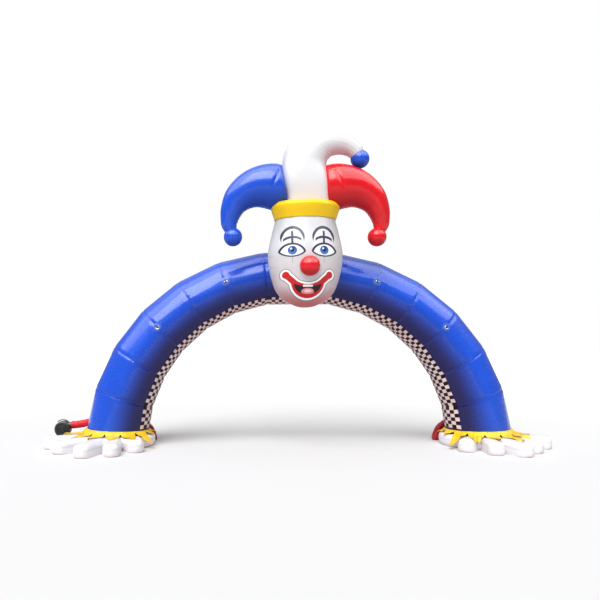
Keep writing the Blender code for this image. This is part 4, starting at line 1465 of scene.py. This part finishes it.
def sky_world():
    """White behind the arch; a bright upper sky that ends sharply, for the glints on the vinyl."""
    world = bpy.data.worlds.new("sky")
    world.use_nodes = True
    tree = world.node_tree
    link = tree.links.new
    place = tree.nodes.new("ShaderNodeTexCoord")
    axes = tree.nodes.new("ShaderNodeSeparateXYZ")
    link(place.outputs["Generated"], axes.inputs[0])
    band = tree.nodes.new("ShaderNodeMapRange")
    band.interpolation_type = "SMOOTHSTEP"
    for name, value in (("From Min", sin(radians(27.0))), ("From Max", sin(radians(31.0)))):
        band.inputs[name].default_value = value
    link(axes.outputs["Z"], band.inputs["Value"])
    back = tree.nodes.new("ShaderNodeMapRange")
    back.interpolation_type = "SMOOTHSTEP"
    for name, value in (("From Min", 0.45), ("From Max", 0.0)):
        back.inputs[name].default_value = value
    link(axes.outputs["Y"], back.inputs["Value"])
    ray = tree.nodes.new("ShaderNodeLightPath")

    def blend(factor, first, second):
        mix = tree.nodes.new("ShaderNodeMix")
        link(factor, mix.inputs["Factor"])
        for socket, value in ((mix.inputs["A"], first), (mix.inputs["B"], second)):
            if isinstance(value, float):
                socket.default_value = value
            else:
                link(value, socket)
        return mix.outputs["Result"]

    soft = blend(band.outputs["Result"], 0.22, 0.55)
    glint = blend(band.outputs["Result"], 0.30, blend(back.outputs["Result"], 0.8, 5.6))
    strength = blend(ray.outputs["Is Glossy Ray"], soft, glint)
    strength = blend(ray.outputs["Is Camera Ray"], strength, 1.0)
    background = tree.nodes["Background"]
    background.inputs["Color"].default_value = (1.0, 1.0, 1.0, 1.0)
    link(strength, background.inputs["Strength"])
    return world


class ARCH_OT_stage(bpy.types.Operator):
    """Set the pale floor, the lights and the camera"""

    bl_idname = "arch.stage"
    bl_label = "Stage"

    def execute(self, context):
        scene = context.scene
        scene.view_settings.view_transform = "Standard"
        floor = Paint("floor", 0.85)
        tone = floor.noise(0.6, 3.0)
        x, y, _ = floor.axes(floor.place())
        # Painted light: the floor glows more the farther it lies, so that it fades into the white backdrop.
        away = floor.soft(floor.root(x * x + y * y), 7.0, 22.0)
        floor.set(
            Base_Color=floor.mix(tone, (0.76, 0.76, 0.76), (0.74, 0.74, 0.745)),
            Emission_Color=floor.mix(away, (0.0, 0.0, 0.0), (0.5, 0.5, 0.5)),
            Emission_Strength=1.0,
            Specular_IOR_Level=0.2,
        )
        size = 60.0
        mesh = bpy.data.meshes.new("floor")
        corners = [(-size, -size, 0), (size, -size, 0), (size, size, 0), (-size, size, 0)]
        mesh.from_pydata(corners, [], [(0, 1, 2, 3)])
        mesh.materials.append(floor.material)
        ground = bpy.data.objects.new("floor", mesh)
        scene.collection.objects.link(ground)

        scene.world = sky_world()
        lamp = bpy.data.lights.new("sun", "SUN")
        lamp.energy = 3.2
        lamp.angle = radians(46.0)
        light = bpy.data.objects.new("sun", lamp)
        light.rotation_euler = (radians(40.0), 0, radians(-24.0))
        light.location = (-4.0, -6.0, 9.0)
        scene.collection.objects.link(light)

        camera = bpy.data.cameras.new("camera")
        camera.lens = 38.64
        camera.sensor_width = 36.0
        camera.shift_x = 0.145
        camera.shift_y = 0.0583
        eye = bpy.data.objects.new("camera", camera)
        eye.location = (-1.58, -12.12, 2.12)
        eye.rotation_euler = (pi / 2, 0, 0)
        scene.collection.objects.link(eye)
        scene.camera = eye
        return {"FINISHED"}


class ARCH_PT_panel(bpy.types.Panel):
    """Lists the pieces of the arch"""

    bl_idname = "ARCH_PT_panel"
    bl_label = "Arch"
    bl_space_type = "VIEW_3D"
    bl_region_type = "UI"
    bl_category = "Arch"

    def draw(self, context):
        for group in (context.scene.arch_sizes, context.scene.arch_colours):
            for name in group.bl_rna.properties.keys():
                if name not in ("rna_type", "name"):
                    self.layout.prop(group, name)
        for operator in OPERATORS:
            self.layout.operator(operator.bl_idname)


OPERATORS = (
    ARCH_OT_tube,
    ARCH_OT_chequer,
    ARCH_OT_head,
    ARCH_OT_hat,
    ARCH_OT_gloves,
    ARCH_OT_cuffs,
    ARCH_OT_air,
    ARCH_OT_ties,
    ARCH_OT_stage,
)
CLASSES = (ArchSizes, ArchColours, *OPERATORS, ARCH_PT_panel)


def register():
    for made in CLASSES:
        bpy.utils.register_class(made)
    bpy.types.Scene.arch_sizes = bpy.props.PointerProperty(type=ArchSizes)
    bpy.types.Scene.arch_colours = bpy.props.PointerProperty(type=ArchColours)


def unregister():
    del bpy.types.Scene.arch_colours
    del bpy.types.Scene.arch_sizes
    for made in reversed(CLASSES):
        bpy.utils.unregister_class(made)


def main():
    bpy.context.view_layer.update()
    register()
    bpy.ops.arch.stage()
    bpy.ops.arch.tube()
    bpy.ops.arch.chequer()
    bpy.ops.arch.head()
    bpy.ops.arch.hat()
    bpy.ops.arch.gloves()
    bpy.ops.arch.cuffs()
    bpy.ops.arch.air()
    bpy.ops.arch.ties()


if __name__ == "__main__":
    main()
